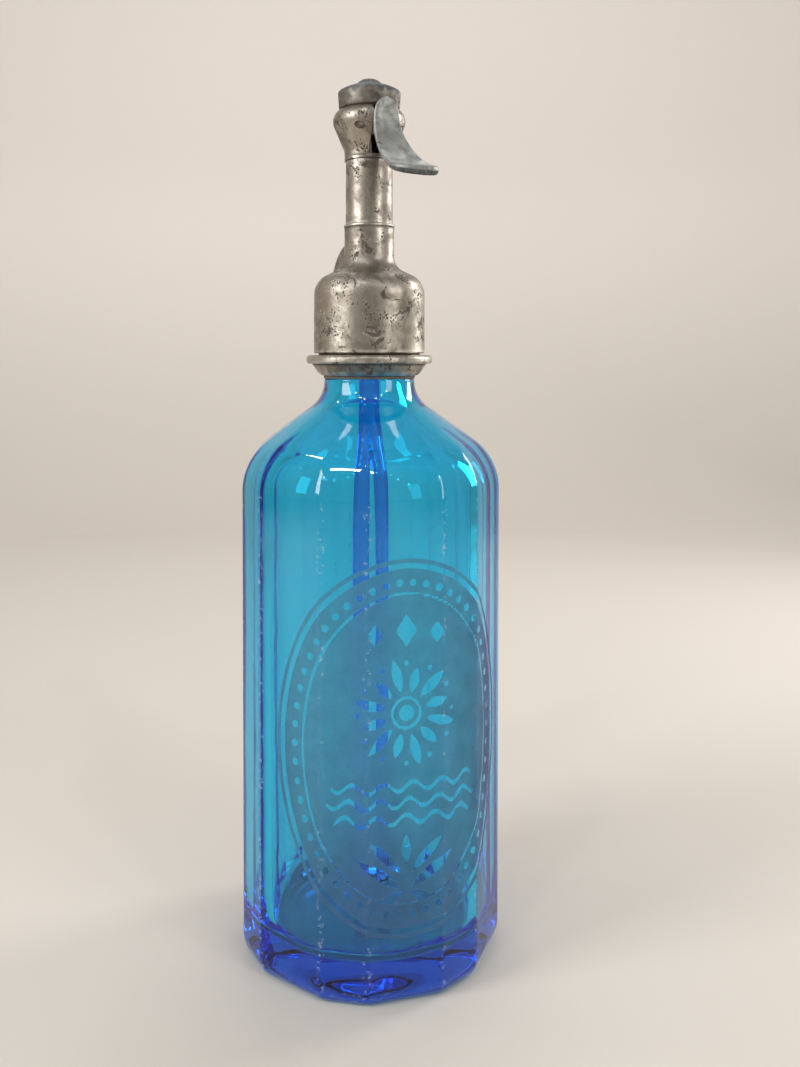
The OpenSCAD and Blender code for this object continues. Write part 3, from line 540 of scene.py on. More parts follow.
def spin(name, section, material, segments=160, dent=0.0, seed=0.0, stainAndShade=None):
    # turns a closed section in mm round the Z axis, dented, rubbed at its edges and dirty in
    # its hollows
    points, bends = section
    verts, wear, grimeAndShade, rows = [], [], [], []
    for (r, z), bend in zip(points, bends):
        if r < 1e-4:
            rows.append([len(verts)])
            verts.append((0, 0, z * mm))
            wear.append(0)
            grimeAndShade.append(0)
            continue
        row = []
        for k in range(segments):
            a = 2 * math.pi * k / segments
            spot = Vector((r * math.cos(a), r * math.sin(a), z))
            lift = dent * noise.noise(spot / handling["dentSize"] + Vector((seed, 0, 0)))
            row.append(len(verts))
            verts.append(((r + lift) * math.cos(a) * mm, (r + lift) * math.sin(a) * mm, z * mm))
            patch = noise.noise(spot / handling["rubSize"] + Vector((0, seed, 0)))
            rub = 0.5 + handling["rubSpread"] * patch
            wear.append(min(1, max(0, bend * handling["wear"])) * min(1, max(0, rub)))
            # a given function adds more darkening; on the cap's dome it is tarnish and painted shade
            stainAndShadeHere = stainAndShade(spot) if stainAndShade else 0
            grimeAndShade.append(min(1, max(0, -bend * handling["grimeAndShade"], stainAndShadeHere)))
        rows.append(row)
    return meshFrom(name, verts, bandFaces(rows + rows[:1]), material,
                    {"wear": wear, "grimeAndShade": grimeAndShade})


# Bottle
bottleShape = {
    "radius": 48.0, "wall": 6.5, "floor": 11.0, "floorRound": 9.0,
    "pairs": 7, "wideAngle": 32.3, "turn": -9.5,  # a wide and a narrow panel make a pair
    "ridgeRadius": 48.12, "ridgeSoftness": 0.09,
    "heelHeight": 8.0, "heelIn": 4.2, "heelScuff": 0.35,
    "puntRim": 35.9, "puntHeight": 2.4, "puntRows": (5, 10, 15, 20, 25, 29, 32.5, 35),
    "footRows": ((35.9, 0.03), (37, 0), (39, 0)),
    "shoulderRound": 22.0, "slope": 35.0, "neckCurve": 12.0, "neckRadius": 16.7, "stepZ": 207.6,
    "grooveRadius": 13.8, "lipRadius": 15.6, "lipZ": 225.0, "lipTopZ": 235.0, "ease": 0.3,
    "fadeRadii": (26.0, 44.0),  # the panels fade out on the shoulder between these
    "faceWave": 0.05, "faceWaveSize": 16,  # depth and width of the waves outside
    "wallWave": 0.35, "wallWaveSize": 14, "wallWaveTall": 75,  # and of those inside
    "rowStep": 2.5, "innerStep": 6, "columnAngle": 2.4, "leastAngle": 0.4,
    "ridgeColumns": (-3.2, -1.9, -1.1, -0.5, 0, 0.5, 1.1, 1.9, 3.2),
    "wavesBetween": (12, 200), "shoulderAbove": 100, "designBelow": 170,
}
designShape = {
    "middleZ": 86.0, "halfWidth": 45.0, "halfHeight": 60.0, "margin": 4.5,
    "fineAngle": 0.85, "fineStep": 0.96,  # columns in degrees and rows in mm that carry it
    "beads": 54, "beadRadius": 1.25, "beadIn": 4.6, "lineIn": 8.2, "lineWidth": 0.9,
    "rimOut": 2.6, "rimWidth": 1.5,
    "rose": (0, 12), "eye": 2.6, "ring": 5.0, "ringWidth": 1.0,
    "petals": 12, "petalRoot": 6.8, "petalReach": (15.5, 19), "petalWidth": 1.7,
    "dotsOut": 16.8, "dotRadius": 0.9,
    "diamonds": ((-11, 2.6), (0, 3.8), (11, 2.6)), "diamondsUp": 39.5,
    "waves": ((-12.5, 26), (-18, 27.5), (-23.5, 25)), "waveLength": 10.5, "waveHeight": 1.5,
    "waveWidth": 1.5, "waveSlope": 0.78,
    "leaves": (((0, -47), (17, -36), 1.9), ((0, -42), (13, -30), 1.7), ((0, -48), (9, -50.5), 1.3)),
    "leafRoot": 1.2, "topLeaf": ((0, -39), (0, -28.5), 1.7),
}


def leafShape(u, v, start, end, width):
    # distance inside a leaf that runs from start to end, pointed at both ends
    du, dv = end[0] - start[0], end[1] - start[1]
    length = math.hypot(du, dv)
    along = ((u - start[0]) * du + (v - start[1]) * dv) / length ** 2
    across = np.abs((u - start[0]) * dv - (v - start[1]) * du) / length
    inside = width * np.sin(np.pi * np.clip(along, 0, 1)) - across
    beyond = np.maximum(-along, along - 1) * length
    return np.where(beyond > 0, -np.hypot(beyond, across), inside)


def dotShape(u, v, at, radius):
    return radius - np.hypot(u - at[0], v - at[1])


def diamondShape(u, v, at, size):
    return (size - np.abs(u - at[0]) - np.abs(v - at[1]) * 0.7) / 1.2


def frostDesign(d, u, v):
    # A made-up design: an etched oval with a beaded border, a rosette, waves and a sprig left
    # clear in it. Above 0 is etched, in mm to the nearest edge.
    a, b = d["halfWidth"], d["halfHeight"]
    k = np.hypot(u / a, v / b)
    slope = np.maximum(np.hypot(u / a ** 2, v / b ** 2), 1e-9)
    field = np.where(k < 0.02, a, k * (1 - k) / slope)  # mm inside the oval
    clear = [d["lineWidth"] / 2 - np.abs(field - d["lineIn"])]
    for i in range(d["beads"]):
        t = 2 * math.pi * i / d["beads"]
        bead = ((a - d["beadIn"]) * math.cos(t), (b - d["beadIn"]) * math.sin(t))
        clear.append(dotShape(u, v, bead, d["beadRadius"]))
    x, y = d["rose"]
    ringGap = np.hypot(u - x, v - y)
    clear += [d["eye"] - ringGap, d["ringWidth"] / 2 - np.abs(ringGap - d["ring"])]
    for i in range(d["petals"]):
        t = 2 * math.pi * (i + 0.5) / d["petals"]
        near, far = d["petalRoot"], d["petalReach"][i % 2]
        clear.append(leafShape(u, v, (x + near * math.cos(t), y + near * math.sin(t)),
                               (x + far * math.cos(t), y + far * math.sin(t)), d["petalWidth"]))
        t = 2 * math.pi * i / d["petals"]
        out = d["dotsOut"]
        clear.append(dotShape(u, v, (x + out * math.cos(t), y + out * math.sin(t)), d["dotRadius"]))
    for x, size in d["diamonds"]:
        clear.append(diamondShape(u, v, (x, d["diamondsUp"] - abs(x) * 0.1), size))
    for level, reach in d["waves"]:
        wave = level + d["waveHeight"] * np.sin(2 * math.pi * u / d["waveLength"] + level)
        line = (d["waveWidth"] / 2 - np.abs(v - wave)) * d["waveSlope"]
        clear.append(np.minimum(line, reach - np.abs(u)))
    for side in (-1, 1):
        for root, tip, width in d["leaves"]:
            clear.append(leafShape(u, v, (side * (root[0] + d["leafRoot"]), root[1]),
                                   (side * tip[0], tip[1]), width))
    clear.append(leafShape(u, v, *d["topLeaf"]))
    rim = d["rimWidth"] / 2 - np.abs(field + d["rimOut"])
    return np.maximum(np.minimum(field, -np.max(clear, axis=0)), rim)


def softMin(values, softness):
    lowest = np.min(values, axis=0)
    return lowest - softness * np.log(np.sum(np.exp(-(values - lowest) / softness), axis=0))


def bottleRows(s, d):
    # rows of (radius of the round, z, inset, outside) from under the base to the floor inside
    slope = math.radians(s["slope"])
    lean = Vector((math.sin(slope), math.cos(slope)))
    curve = Vector((s["neckRadius"] + s["neckCurve"], s["stepZ"] - 0.6))

    def shoulder(inset):
        touch = curve - (s["neckCurve"] + inset) * lean
        rounding = s["shoulderRound"] - inset
        x = s["radius"] - s["shoulderRound"]
        z = touch.y - (x + rounding * lean.x - touch.x) * math.tan(slope) - rounding * lean.y
        up = arcPoints((x, z), rounding, 0, 90 - s["slope"], 3)
        hollow = arcPoints(curve, s["neckCurve"] + inset, 270 - s["slope"], 180, 4)
        start, end = up[-1], hollow[0]
        gap = [(start[0] + (end[0] - start[0]) * t, start[1] + (end[1] - start[1]) * t)
               for t in (0.2, 0.4, 0.6, 0.8)]
        return up + gap + hollow

    rows = [(0, s["puntHeight"], 0, True)]
    ball = (s["puntRim"] ** 2 + s["puntHeight"] ** 2) / (2 * s["puntHeight"])
    for r in s["puntRows"]:
        rows.append((r, s["puntHeight"] - ball + math.sqrt(ball ** 2 - r ** 2), 0, True))
    rows += [(r, z, 0, True) for r, z in s["footRows"]]
    for i in range(13):
        a = math.radians(7.5 * i)
        rows.append((s["radius"], s["heelHeight"] * (1 - math.cos(a)),
                     s["heelIn"] * (1 - math.sin(a)), True))
    outside = shoulder(0)
    designLow = d["middleZ"] - d["halfHeight"] - d["margin"]
    designHigh = d["middleZ"] + d["halfHeight"] + d["margin"]
    z = s["heelHeight"] + 2
    while z < outside[0][1] - 1:
        rows.append((s["radius"], z, 0, True))
        z += d["fineStep"] if designLow < z < designHigh else s["rowStep"]
    rows += [(r, z, 0, True) for r, z in outside]
    ease = s["ease"]
    neck, groove, lip = s["neckRadius"], s["grooveRadius"], s["lipRadius"]
    stepZ, lipZ, topZ = s["stepZ"], s["lipZ"], s["lipTopZ"]
    rows += [(r, z, 0, True) for r, z in (
        (neck, stepZ - ease), (neck - ease, stepZ), (groove + 0.1, stepZ), (groove, stepZ + ease),
        (groove, lipZ - ease), (groove + ease, lipZ + 0.1), (lip, lipZ + 2), (lip, topZ - 1.4),
        (lip - ease, topZ - 0.4), (lip - 1, topZ))]
    bore = neck - s["wall"]
    rows += [(r, z, 0, False) for r, z in (
        (bore + 0.8, topZ), (bore + 0.2, topZ - ease), (bore, topZ - 1), (bore, stepZ + 10))]
    inside = shoulder(s["wall"])
    rows += [(r, z, 0, False) for r, z in reversed(inside)]
    inner = s["radius"] - s["wall"]
    z = inside[0][1] - 4
    while z > s["floor"] + s["floorRound"] + 2:
        rows.append((inner, z, 0, False))
        z -= s["innerStep"]
    corner = (inner - s["floorRound"], s["floor"] + s["floorRound"])
    rows += [(r, z, 0, False) for r, z in arcPoints(corner, s["floorRound"], 0, -90, 9)]
    rows += [(r, s["floor"], 0, False) for r in (26, 19, 12, 5)]
    rows.append((0, s["floor"], 0, False))
    return rows


def bottleColumns(s, d):
    # angles of the columns: close at the ridges and across the design, wider elsewhere
    pair = 360 / s["pairs"]
    ridges = [s["turn"] + i * pair + side * s["wideAngle"] / 2
              for i in range(s["pairs"]) for side in (-1, 1)]
    wanted = [ridge + away for ridge in ridges for away in s["ridgeColumns"]]
    wanted += [s["turn"] + k * s["columnAngle"] for k in range(-75, 75)]
    wanted += [s["turn"] + k * d["fineAngle"] for k in range(-73, 74)]
    kept = []
    for a in sorted(x % 360 for x in wanted):
        if not kept or a - kept[-1] > s["leastAngle"]:
            kept.append(a)
    if kept[0] + 360 - kept[-1] < s["leastAngle"]:
        kept.pop()
    return np.array(kept)


def makeBottle(s, d):
    rows = bottleRows(s, d)
    angles = np.radians(bottleColumns(s, d))
    pair = 360 / s["pairs"]
    flats = []
    for i in range(s["pairs"]):
        for at, span in ((s["turn"] + i * pair, s["wideAngle"]),
                         (s["turn"] + (i + 0.5) * pair, pair - s["wideAngle"])):
            away = (angles - math.radians(at) + np.pi) % (2 * np.pi) - np.pi
            near = np.abs(away) < 1.0
            gap = s["ridgeRadius"] * math.cos(math.radians(span / 2))
            flats.append(np.where(near, gap / np.cos(np.where(near, away, 0)), 90.0))
    flats = np.array(flats)
    panels = softMin(flats, s["ridgeSoftness"])
    facets = softMin(np.array([np.full_like(angles, s["radius"]), panels]), s["ridgeSoftness"])
    fadeStart, fadeEnd = s["fadeRadii"]
    waveLow, waveHigh = s["wavesBetween"]
    ridgeDrop = np.sort(flats, axis=0)
    ridgeMark = np.clip(1 - (ridgeDrop[1] - ridgeDrop[0]) / 1.0, 0, 1)
    around = (angles - math.radians(s["turn"]) + np.pi) % (2 * np.pi) - np.pi
    verts, frost, ridge, index = [], [], [], []
    for r, z, inset, outside in rows:
        if r == 0:
            index.append([len(verts)])
            verts.append((0, 0, z * mm))
            frost.append(-50)
            ridge.append(0)
            continue
        radii = np.full_like(angles, r)
        if outside and z > s["shoulderAbove"]:
            # the panels run on over the shoulder and fade out on its slope
            share = min(1, max(0, (r - fadeStart) / (fadeEnd - fadeStart)))
            radii = r * (1 - share * (1 - facets / s["radius"]))
        elif outside and r > 20:
            radii = softMin(np.array([radii, panels]), s["ridgeSoftness"]) - inset
        index.append(list(range(len(verts), len(verts) + len(angles))))
        for a, radius in zip(angles, radii):
            spot = Vector((radius * math.cos(a), radius * math.sin(a), z))
            if outside:
                waved = noise.noise(spot / s["faceWaveSize"]) if waveLow < z < waveHigh else 0
                wave = s["faceWave"] * waved
            else:
                stretched = Vector((spot.x / s["wallWaveSize"], spot.y / s["wallWaveSize"],
                                    z / s["wallWaveTall"]))
                wave = s["wallWave"] * noise.noise(stretched) if z < s["stepZ"] else 0
            radius -= abs(wave) if outside else -wave
            verts.append((radius * math.cos(a) * mm, radius * math.sin(a) * mm, z * mm))
        if outside and r == s["radius"] and inset == 0 and z < s["designBelow"]:
            frost += list(frostDesign(d, around * s["radius"],
                                      np.full_like(angles, z - d["middleZ"])))
        else:
            frost += [-50] * len(angles)
        edge = s["heelScuff"] if outside and inset > 0.3 else 0
        ridge += list(np.maximum(ridgeMark, edge) if outside and r == s["radius"]
                      else ridgeMark * 0)
    piece = meshFrom("bottleGlass", verts, bandFaces(index), blueGlass,
                     {"frost": frost, "ridge": ridge})
    return place(piece, "siphon", "bottle", "bottle")


makeBottle(bottleShape, designShape)
print("bottle made")


# Dip tube
tubeShape = {"radius": 3.75, "bore": 2.2, "footZ": 16.0, "cut": 35.0, "cutTall": 4.0,
             "flareRadius": 6.2, "flareZ": 238.6, "topZ": 239.8}


def makeDipTube(s):
    section = roundedSection([
        (s["bore"], s["footZ"], 0.3), (s["radius"], s["footZ"], 0.3),
        (s["radius"], s["flareZ"], 0.6), (s["flareRadius"], s["flareZ"], 0.4),
        (s["flareRadius"], s["topZ"], 0.5), (s["bore"], s["topZ"], 0.5),
    ], 20, 8)
    piece = spin("dipTubeGlass", section, cobaltGlass, 64)
    for vertex in piece.data.vertices:
        # the foot is cut askew, so that water gets in while it stands near the floor
        low = max(0, 1 - (vertex.co.z / mm - s["footZ"]) / s["cutTall"])
        vertex.co.z += low * (vertex.co.x + s["radius"] * mm) * math.tan(math.radians(s["cut"]))
    return place(piece, "siphon", "dip_glass", "dip_tube")


makeDipTube(tubeShape)
print("dip tube made")


# Bell, collar, packing, neck tube, lever chamber and cap
bellShape = {"radius": 20.5, "lowZ": 216.9, "round": 8.0, "slope": 25.0, "curve": 6.0,
             "socketRadius": 9.2, "socketZ": 252.7, "rimZ": 264.3, "beadOut": 0.22,
             "glandRadius": 7.3, "glandZ": 258.3, "waterRadius": 6.0, "seatRadius": 6.4,
             "seatZ": 246.6, "ceilingZ": 241.2, "gasketRadius": 14.9, "threadRadius": 19.0,
             "threadZ": 235, "dent": 0.09}


def makeBell(s):
    slope = math.radians(s["slope"])
    touchR = s["socketRadius"] + s["curve"] * (1 - math.sin(slope))
    touchZ = s["socketZ"] - s["curve"] * math.cos(slope)
    shoulderZ = touchZ - (s["radius"] - touchR) * math.tan(slope)
    rootZ = touchZ + (touchR - s["socketRadius"]) * math.tan(slope)
    bead = s["socketRadius"] + s["beadOut"]
    section = roundedSection([
        (s["threadRadius"], s["lowZ"], 0.3), (s["radius"], s["lowZ"], 0.6),
        (s["radius"], shoulderZ, s["round"]), (s["socketRadius"], rootZ, s["curve"]),
        (s["socketRadius"], s["rimZ"] - 0.9, 0.25), (bead, s["rimZ"] - 0.75, 0.2),
        (bead, s["rimZ"], 0.3), (s["glandRadius"], s["rimZ"], 0.1),
        (s["glandRadius"], s["glandZ"], 0), (s["waterRadius"], s["glandZ"], 0),
        (s["waterRadius"], s["seatZ"], 0), (s["seatRadius"], s["seatZ"], 0),
        (s["seatRadius"], s["ceilingZ"], 0), (s["gasketRadius"], s["ceilingZ"], 0),
        (s["gasketRadius"], s["threadZ"], 0), (s["threadRadius"], s["threadZ"], 0),
    ], 6, 1.2)
    return place(spin("bellCasting", section, castPewter, 200, s["dent"], 3.1),
                 "siphon", "pewter", "bell")


collarShape = {"lowZ": 208.8, "flangeZ": 213.1, "flangeTopZ": 216.3, "flangeRadius": 23.3,
               "coneRadii": (17.9, 19.0, 21.3), "threadRadius": 18.7, "threadTopZ": 226.9,
               "boreRadius": 15.9, "gripRadius": 17.2, "gripZ": 219.2, "dent": 0.10}


def makeCollar(s):
    foot, middle, top = s["coneRadii"]
    section = roundedSection([
        (s["boreRadius"], s["lowZ"], 0.2), (foot, s["lowZ"], 0.4), (middle, s["lowZ"] + 0.9, 0.6),
        (top, s["flangeZ"] + 0.1, 0.7), (s["flangeRadius"], s["flangeZ"], 1.55),
        (s["flangeRadius"], s["flangeTopZ"], 1.55), (s["threadRadius"], s["flangeTopZ"], 0.4),
        (s["threadRadius"], s["threadTopZ"], 0.5), (s["gripRadius"], s["threadTopZ"], 0.3),
        (s["gripRadius"], s["gripZ"], 0), (s["boreRadius"], s["gripZ"], 0.2),
    ], 10, 1.2)
    return place(spin("collarCasting", section, castPewter, 200, s["dent"], 8.7),
                 "siphon", "pewter", "collar_ring")


packingShape = {"innerRadius": 14.1, "radius": 17.0, "lowZ": 207.6, "topZ": 208.8}


def makePacking(s):
    section = roundedSection([
        (s["innerRadius"], s["lowZ"], 0.1), (s["radius"], s["lowZ"], 0.45),
        (s["radius"] - 0.1, s["topZ"], 0.4), (s["innerRadius"], s["topZ"], 0.1),
    ], 20, 1.0)
    return place(spin("collarPacking", section, stock["perishedRubber"], 120, 0.08, 1.3),
                 "siphon", "packing", "collar_packing")


neckShape = {"radius": 8.7, "lowZ": 264.3, "topZ": 287.8, "footRadius": 7.2, "footZ": 258.3,
             "floorZ": 259.8, "rodRadius": 2.1, "boreRadius": 5.0, "rimRadius": 6.95,
             "rimZ": 281.8, "dent": 0.07}


def makeNeck(s):
    section = roundedSection([
        (s["boreRadius"], s["floorZ"], 0), (s["rodRadius"], s["floorZ"], 0),
        (s["rodRadius"], s["footZ"], 0), (s["footRadius"], s["footZ"], 0.3),
        (s["footRadius"], s["lowZ"], 0), (s["radius"], s["lowZ"] + 0.02, 0.25),
        (s["radius"], s["topZ"], 0.35), (s["rimRadius"], s["topZ"], 0.1),
        (s["rimRadius"], s["rimZ"], 0), (s["boreRadius"], s["rimZ"], 0),
    ], 15, 1.0)
    return place(spin("neckTubeTurned", section, castPewter, 140, s["dent"], 5.9),
                 "siphon", "pewter", "neck_tube")


chamberShape = {"footRadius": 9.2, "lowZ": 287.8, "topZ": 306.3, "bulgeRadius": 13.4,
                "bulgeZ": 302.3, "bulgeRound": 4.8, "bulgeEnd": 56.4, "curve": 8.0, "slope": 63.0,
                "capRadius": 8.4, "capZ": 303.5, "bore": 7.5, "floorZ": 291.3, "rodRadius": 5.0,
                "neckRadius": 6.85, "neckZ": 281.85, "slotWidth": 8.0, "slotZ": 289.2,
                "pinX": 9.2, "pinZ": 298.8, "pinRadius": 1.27, "dent": 0.08}


def cutBy(piece, cutter):
    step = piece.modifiers.new("cut", "BOOLEAN")
    step.operation = "DIFFERENCE"
    step.solver = "EXACT"
    step.object = cutter
    keepResult(piece)
    bpy.data.objects.remove(cutter)


def prism(name, outline, width, material, offset=0.0):
    # a side outline (x, z) in mm, drawn out across Y
    count = len(outline)
    verts = [(x * mm, (offset + side * width / 2) * mm, z * mm) for side in (-1, 1)
             for x, z in outline]
    faces = [tuple(range(count)), tuple(range(count, 2 * count))]
    faces += [(k, (k + 1) % count, count + (k + 1) % count, count + k) for k in range(count)]
    return meshFrom(name, verts, faces, material)


def makeChamber(s):
    bulge = (s["bulgeRadius"] - s["bulgeRound"], s["bulgeZ"])
    footCurve = (s["footRadius"] - 0.1 + s["curve"], s["lowZ"] + 1.6)
    outer = [(s["footRadius"], s["lowZ"] + 0.05), (s["footRadius"] + 0.02, s["lowZ"] + 0.4),
             (s["footRadius"], s["lowZ"] + 1.0), (s["footRadius"] - 0.2, s["lowZ"] + 1.25)]
    outer += arcPoints(footCurve, s["curve"], 180, 180 - (90 - s["slope"]), 4)
    outer += arcPoints(bulge, s["bulgeRound"], -(90 - s["slope"]), s["bulgeEnd"], 6)
    inner = [(s["capRadius"], s["topZ"]), (s["capRadius"], s["capZ"]), (s["bore"], s["capZ"]),
             (s["bore"], s["floorZ"]), (s["rodRadius"], s["floorZ"]),
             (s["rodRadius"], s["neckZ"]), (s["neckRadius"], s["neckZ"]),
             (s["neckRadius"], s["lowZ"] + 0.02)]
    section = roundedSection([(r, z, 0) for r, z in outer + inner], 10, 0.9)
    piece = spin("chamberCasting", section, castPewter, 160, s["dent"], 11.4)
    slot = prism("slotCutter", [(0, s["slotZ"]), (20, s["slotZ"]), (20, 310), (0, 310)],
                 s["slotWidth"], castPewter)
    cutBy(piece, slot)
    drill = bpy.data.meshes.new("pinCutter")
    work = bmesh.new()
    pin = s["pinRadius"] * mm
    bmesh.ops.create_cone(work, cap_ends=True, segments=40, radius1=pin, radius2=pin, depth=60 * mm)
    work.to_mesh(drill)
    work.free()
    hole = showObject("pinCutter", drill)
    hole.rotation_euler = (math.pi / 2, 0, 0)
    hole.location = (s["pinX"] * mm, 0, s["pinZ"] * mm)
    bpy.context.view_layer.update()
    cutBy(piece, hole)
    piece.data.set_sharp_from_angle(angle=math.radians(40))
    return place(piece, "siphon", "pewter", "lever_chamber")


capShape = {"radius": 11.6, "lowZ": 306.7, "sideHeight": 5.7, "edgeRound": 1.2, "topZ": 316.4,
            "buttonRadius": 5.0, "buttonTopZ": 318.0, "springRadius": 4.9, "ceilingZ": 313.8,
            "plugRadius": 8.1, "plugZ": 303.8, "dent": 0.10,
            "tarnishShadeUp": 0.6, "tarnishShadeEdge": 0.8, "tarnishShadeRagged": ((1.6, 3.5), (0.8, 1.1))}


def makeCap(s):
    edge = (s["radius"] - s["edgeRound"], s["lowZ"] + s["sideHeight"])
    rise = s["topZ"] - edge[1]
    dome = (edge[0] ** 2 + rise ** 2 - s["edgeRound"] ** 2) / (2 * (rise - s["edgeRound"]))
    centreZ = s["topZ"] - dome
    lean = math.degrees(math.atan2(edge[1] - centreZ, edge[0]))
    outer = [(s["radius"] - 0.75, s["lowZ"] + 0.05), (s["radius"] - 0.4, s["lowZ"] + 0.35)]
    outer += arcPoints(edge, s["edgeRound"], 0, lean, 12)
    foot = math.degrees(math.acos((s["buttonRadius"] + 0.7) / dome))
    outer += arcPoints((0, centreZ), dome, lean + 1, foot, 3)
    buttonZ = centreZ + math.sqrt(dome ** 2 - s["buttonRadius"] ** 2)
    height = s["buttonTopZ"] - buttonZ
    outer += [(s["buttonRadius"] + 0.1, buttonZ + 0.02), (s["buttonRadius"] - 0.35, buttonZ + 0.3)]
    for r in (4.2, 3.6, 2.9, 2.1, 1.3, 0.6):
        outer.append((r, buttonZ + height * (1 - (r / s["buttonRadius"]) ** 3)))
    outer.append((0, s["buttonTopZ"]))
    inner = [(0, s["ceilingZ"]), (s["springRadius"], s["ceilingZ"]), (s["springRadius"], s["plugZ"]),
             (s["plugRadius"], s["plugZ"]), (s["plugRadius"], s["lowZ"])]
    section = roundedSection([(r, z, 0) for r, z in outer + inner], 10, 0.9)

    def tarnishAndShade(spot):
        # the dark skin of the dome, part tarnish and part painted shade, ends in a ragged edge below
        # its rim
        ragged = sum(depth * noise.noise(spot / size) for depth, size in s["tarnishShadeRagged"])
        return min(1, max(0, (spot.z - edge[1] + s["tarnishShadeUp"] + ragged) / s["tarnishShadeEdge"]))

    piece = spin("capCasting", section, capPewter, 160, s["dent"], 2.2, tarnishAndShade)
    for vertex in piece.data.vertices:
        vertex.co.z = min(vertex.co.z, s["buttonTopZ"] * mm)
    return place(piece, "siphon", "cap_pewter", "cap")


makeBell(bellShape)
makeCollar(collarShape)
makePacking(packingShape)
makeNeck(neckShape)
makeChamber(chamberShape)
makeCap(capShape)
print("head made")


# Thumb lever
leverShape = {
    "pivotX": 9.2, "pivotZ": 298.8, "bossRadius": 3.2,
    "faceX": 15.6, "noseZ": 308.4, "uprightZ": 302.0,  # the blade's front face above its bends
    "bendRadius": 13.0, "bend": 34.0, "sweepRadius": 34.0, "sweep": 43.0, "tip": 7.0,
    "noseWidth": 5.0, "tipWidth": 8.5, "leastWidth": 0.4, "thickness": 2.0, "tipThickness": 3.3,
    "dish": 1.0, "dishAt": 0.66, "dishSpread": 0.24,  # a hollow for the thumb
    "swellFrom": 0.5, "swellOver": 0.4,  # shares of the length
    "bodyWidth": 7.4, "webX": 15.0, "webLow": 2.9, "webHigh": 5.2,
    "fingerX": (-1.2, 8.5, 9.2), "fingerZ": 301.6, "fingerThickness": 2.1, "fingerWidth": 1.75,
    "fingerY": 2.82, "edge": 0.35,
    # edge and face wear, then how dark the blade's back towards the tip is painted as painted shade,
    # then ripples
    "edgeWear": 0.55, "faceWear": 0.12, "undersideShade": 0.9, "ripple": 0.06, "rippleSize": 5,
}


def direction(degrees):
    return Vector((math.cos(math.radians(degrees)), math.sin(math.radians(degrees))))


def leverPath(s):
    # the blade's front face from the nose down and out to the tip: points and directions
    first = Vector((s["faceX"] + s["bendRadius"], s["uprightZ"]))
    joint = 180 + s["bend"]
    second = first + (s["bendRadius"] - s["sweepRadius"]) * direction(joint)
    upright = s["noseZ"] - s["uprightZ"]
    path = [(Vector((s["faceX"], s["noseZ"] - upright * i / 10)), 180) for i in range(10)]
    for centre, radius, start, turn, steps in ((first, s["bendRadius"], 180, s["bend"], 14),
                                               (second, s["sweepRadius"], joint, s["sweep"], 40)):
        for i in range(steps):
            a = start + turn * i / steps
            path.append((centre + radius * direction(a), a))
    last = joint + s["sweep"]
    end = second + s["sweepRadius"] * direction(last)
    for t in (0, 0.2, 0.4, 0.55, 0.7, 0.8, 0.88, 0.94, 0.98, 1.0):
        path.append((end + direction(last + 90) * s["tip"] * t, last))
    return path


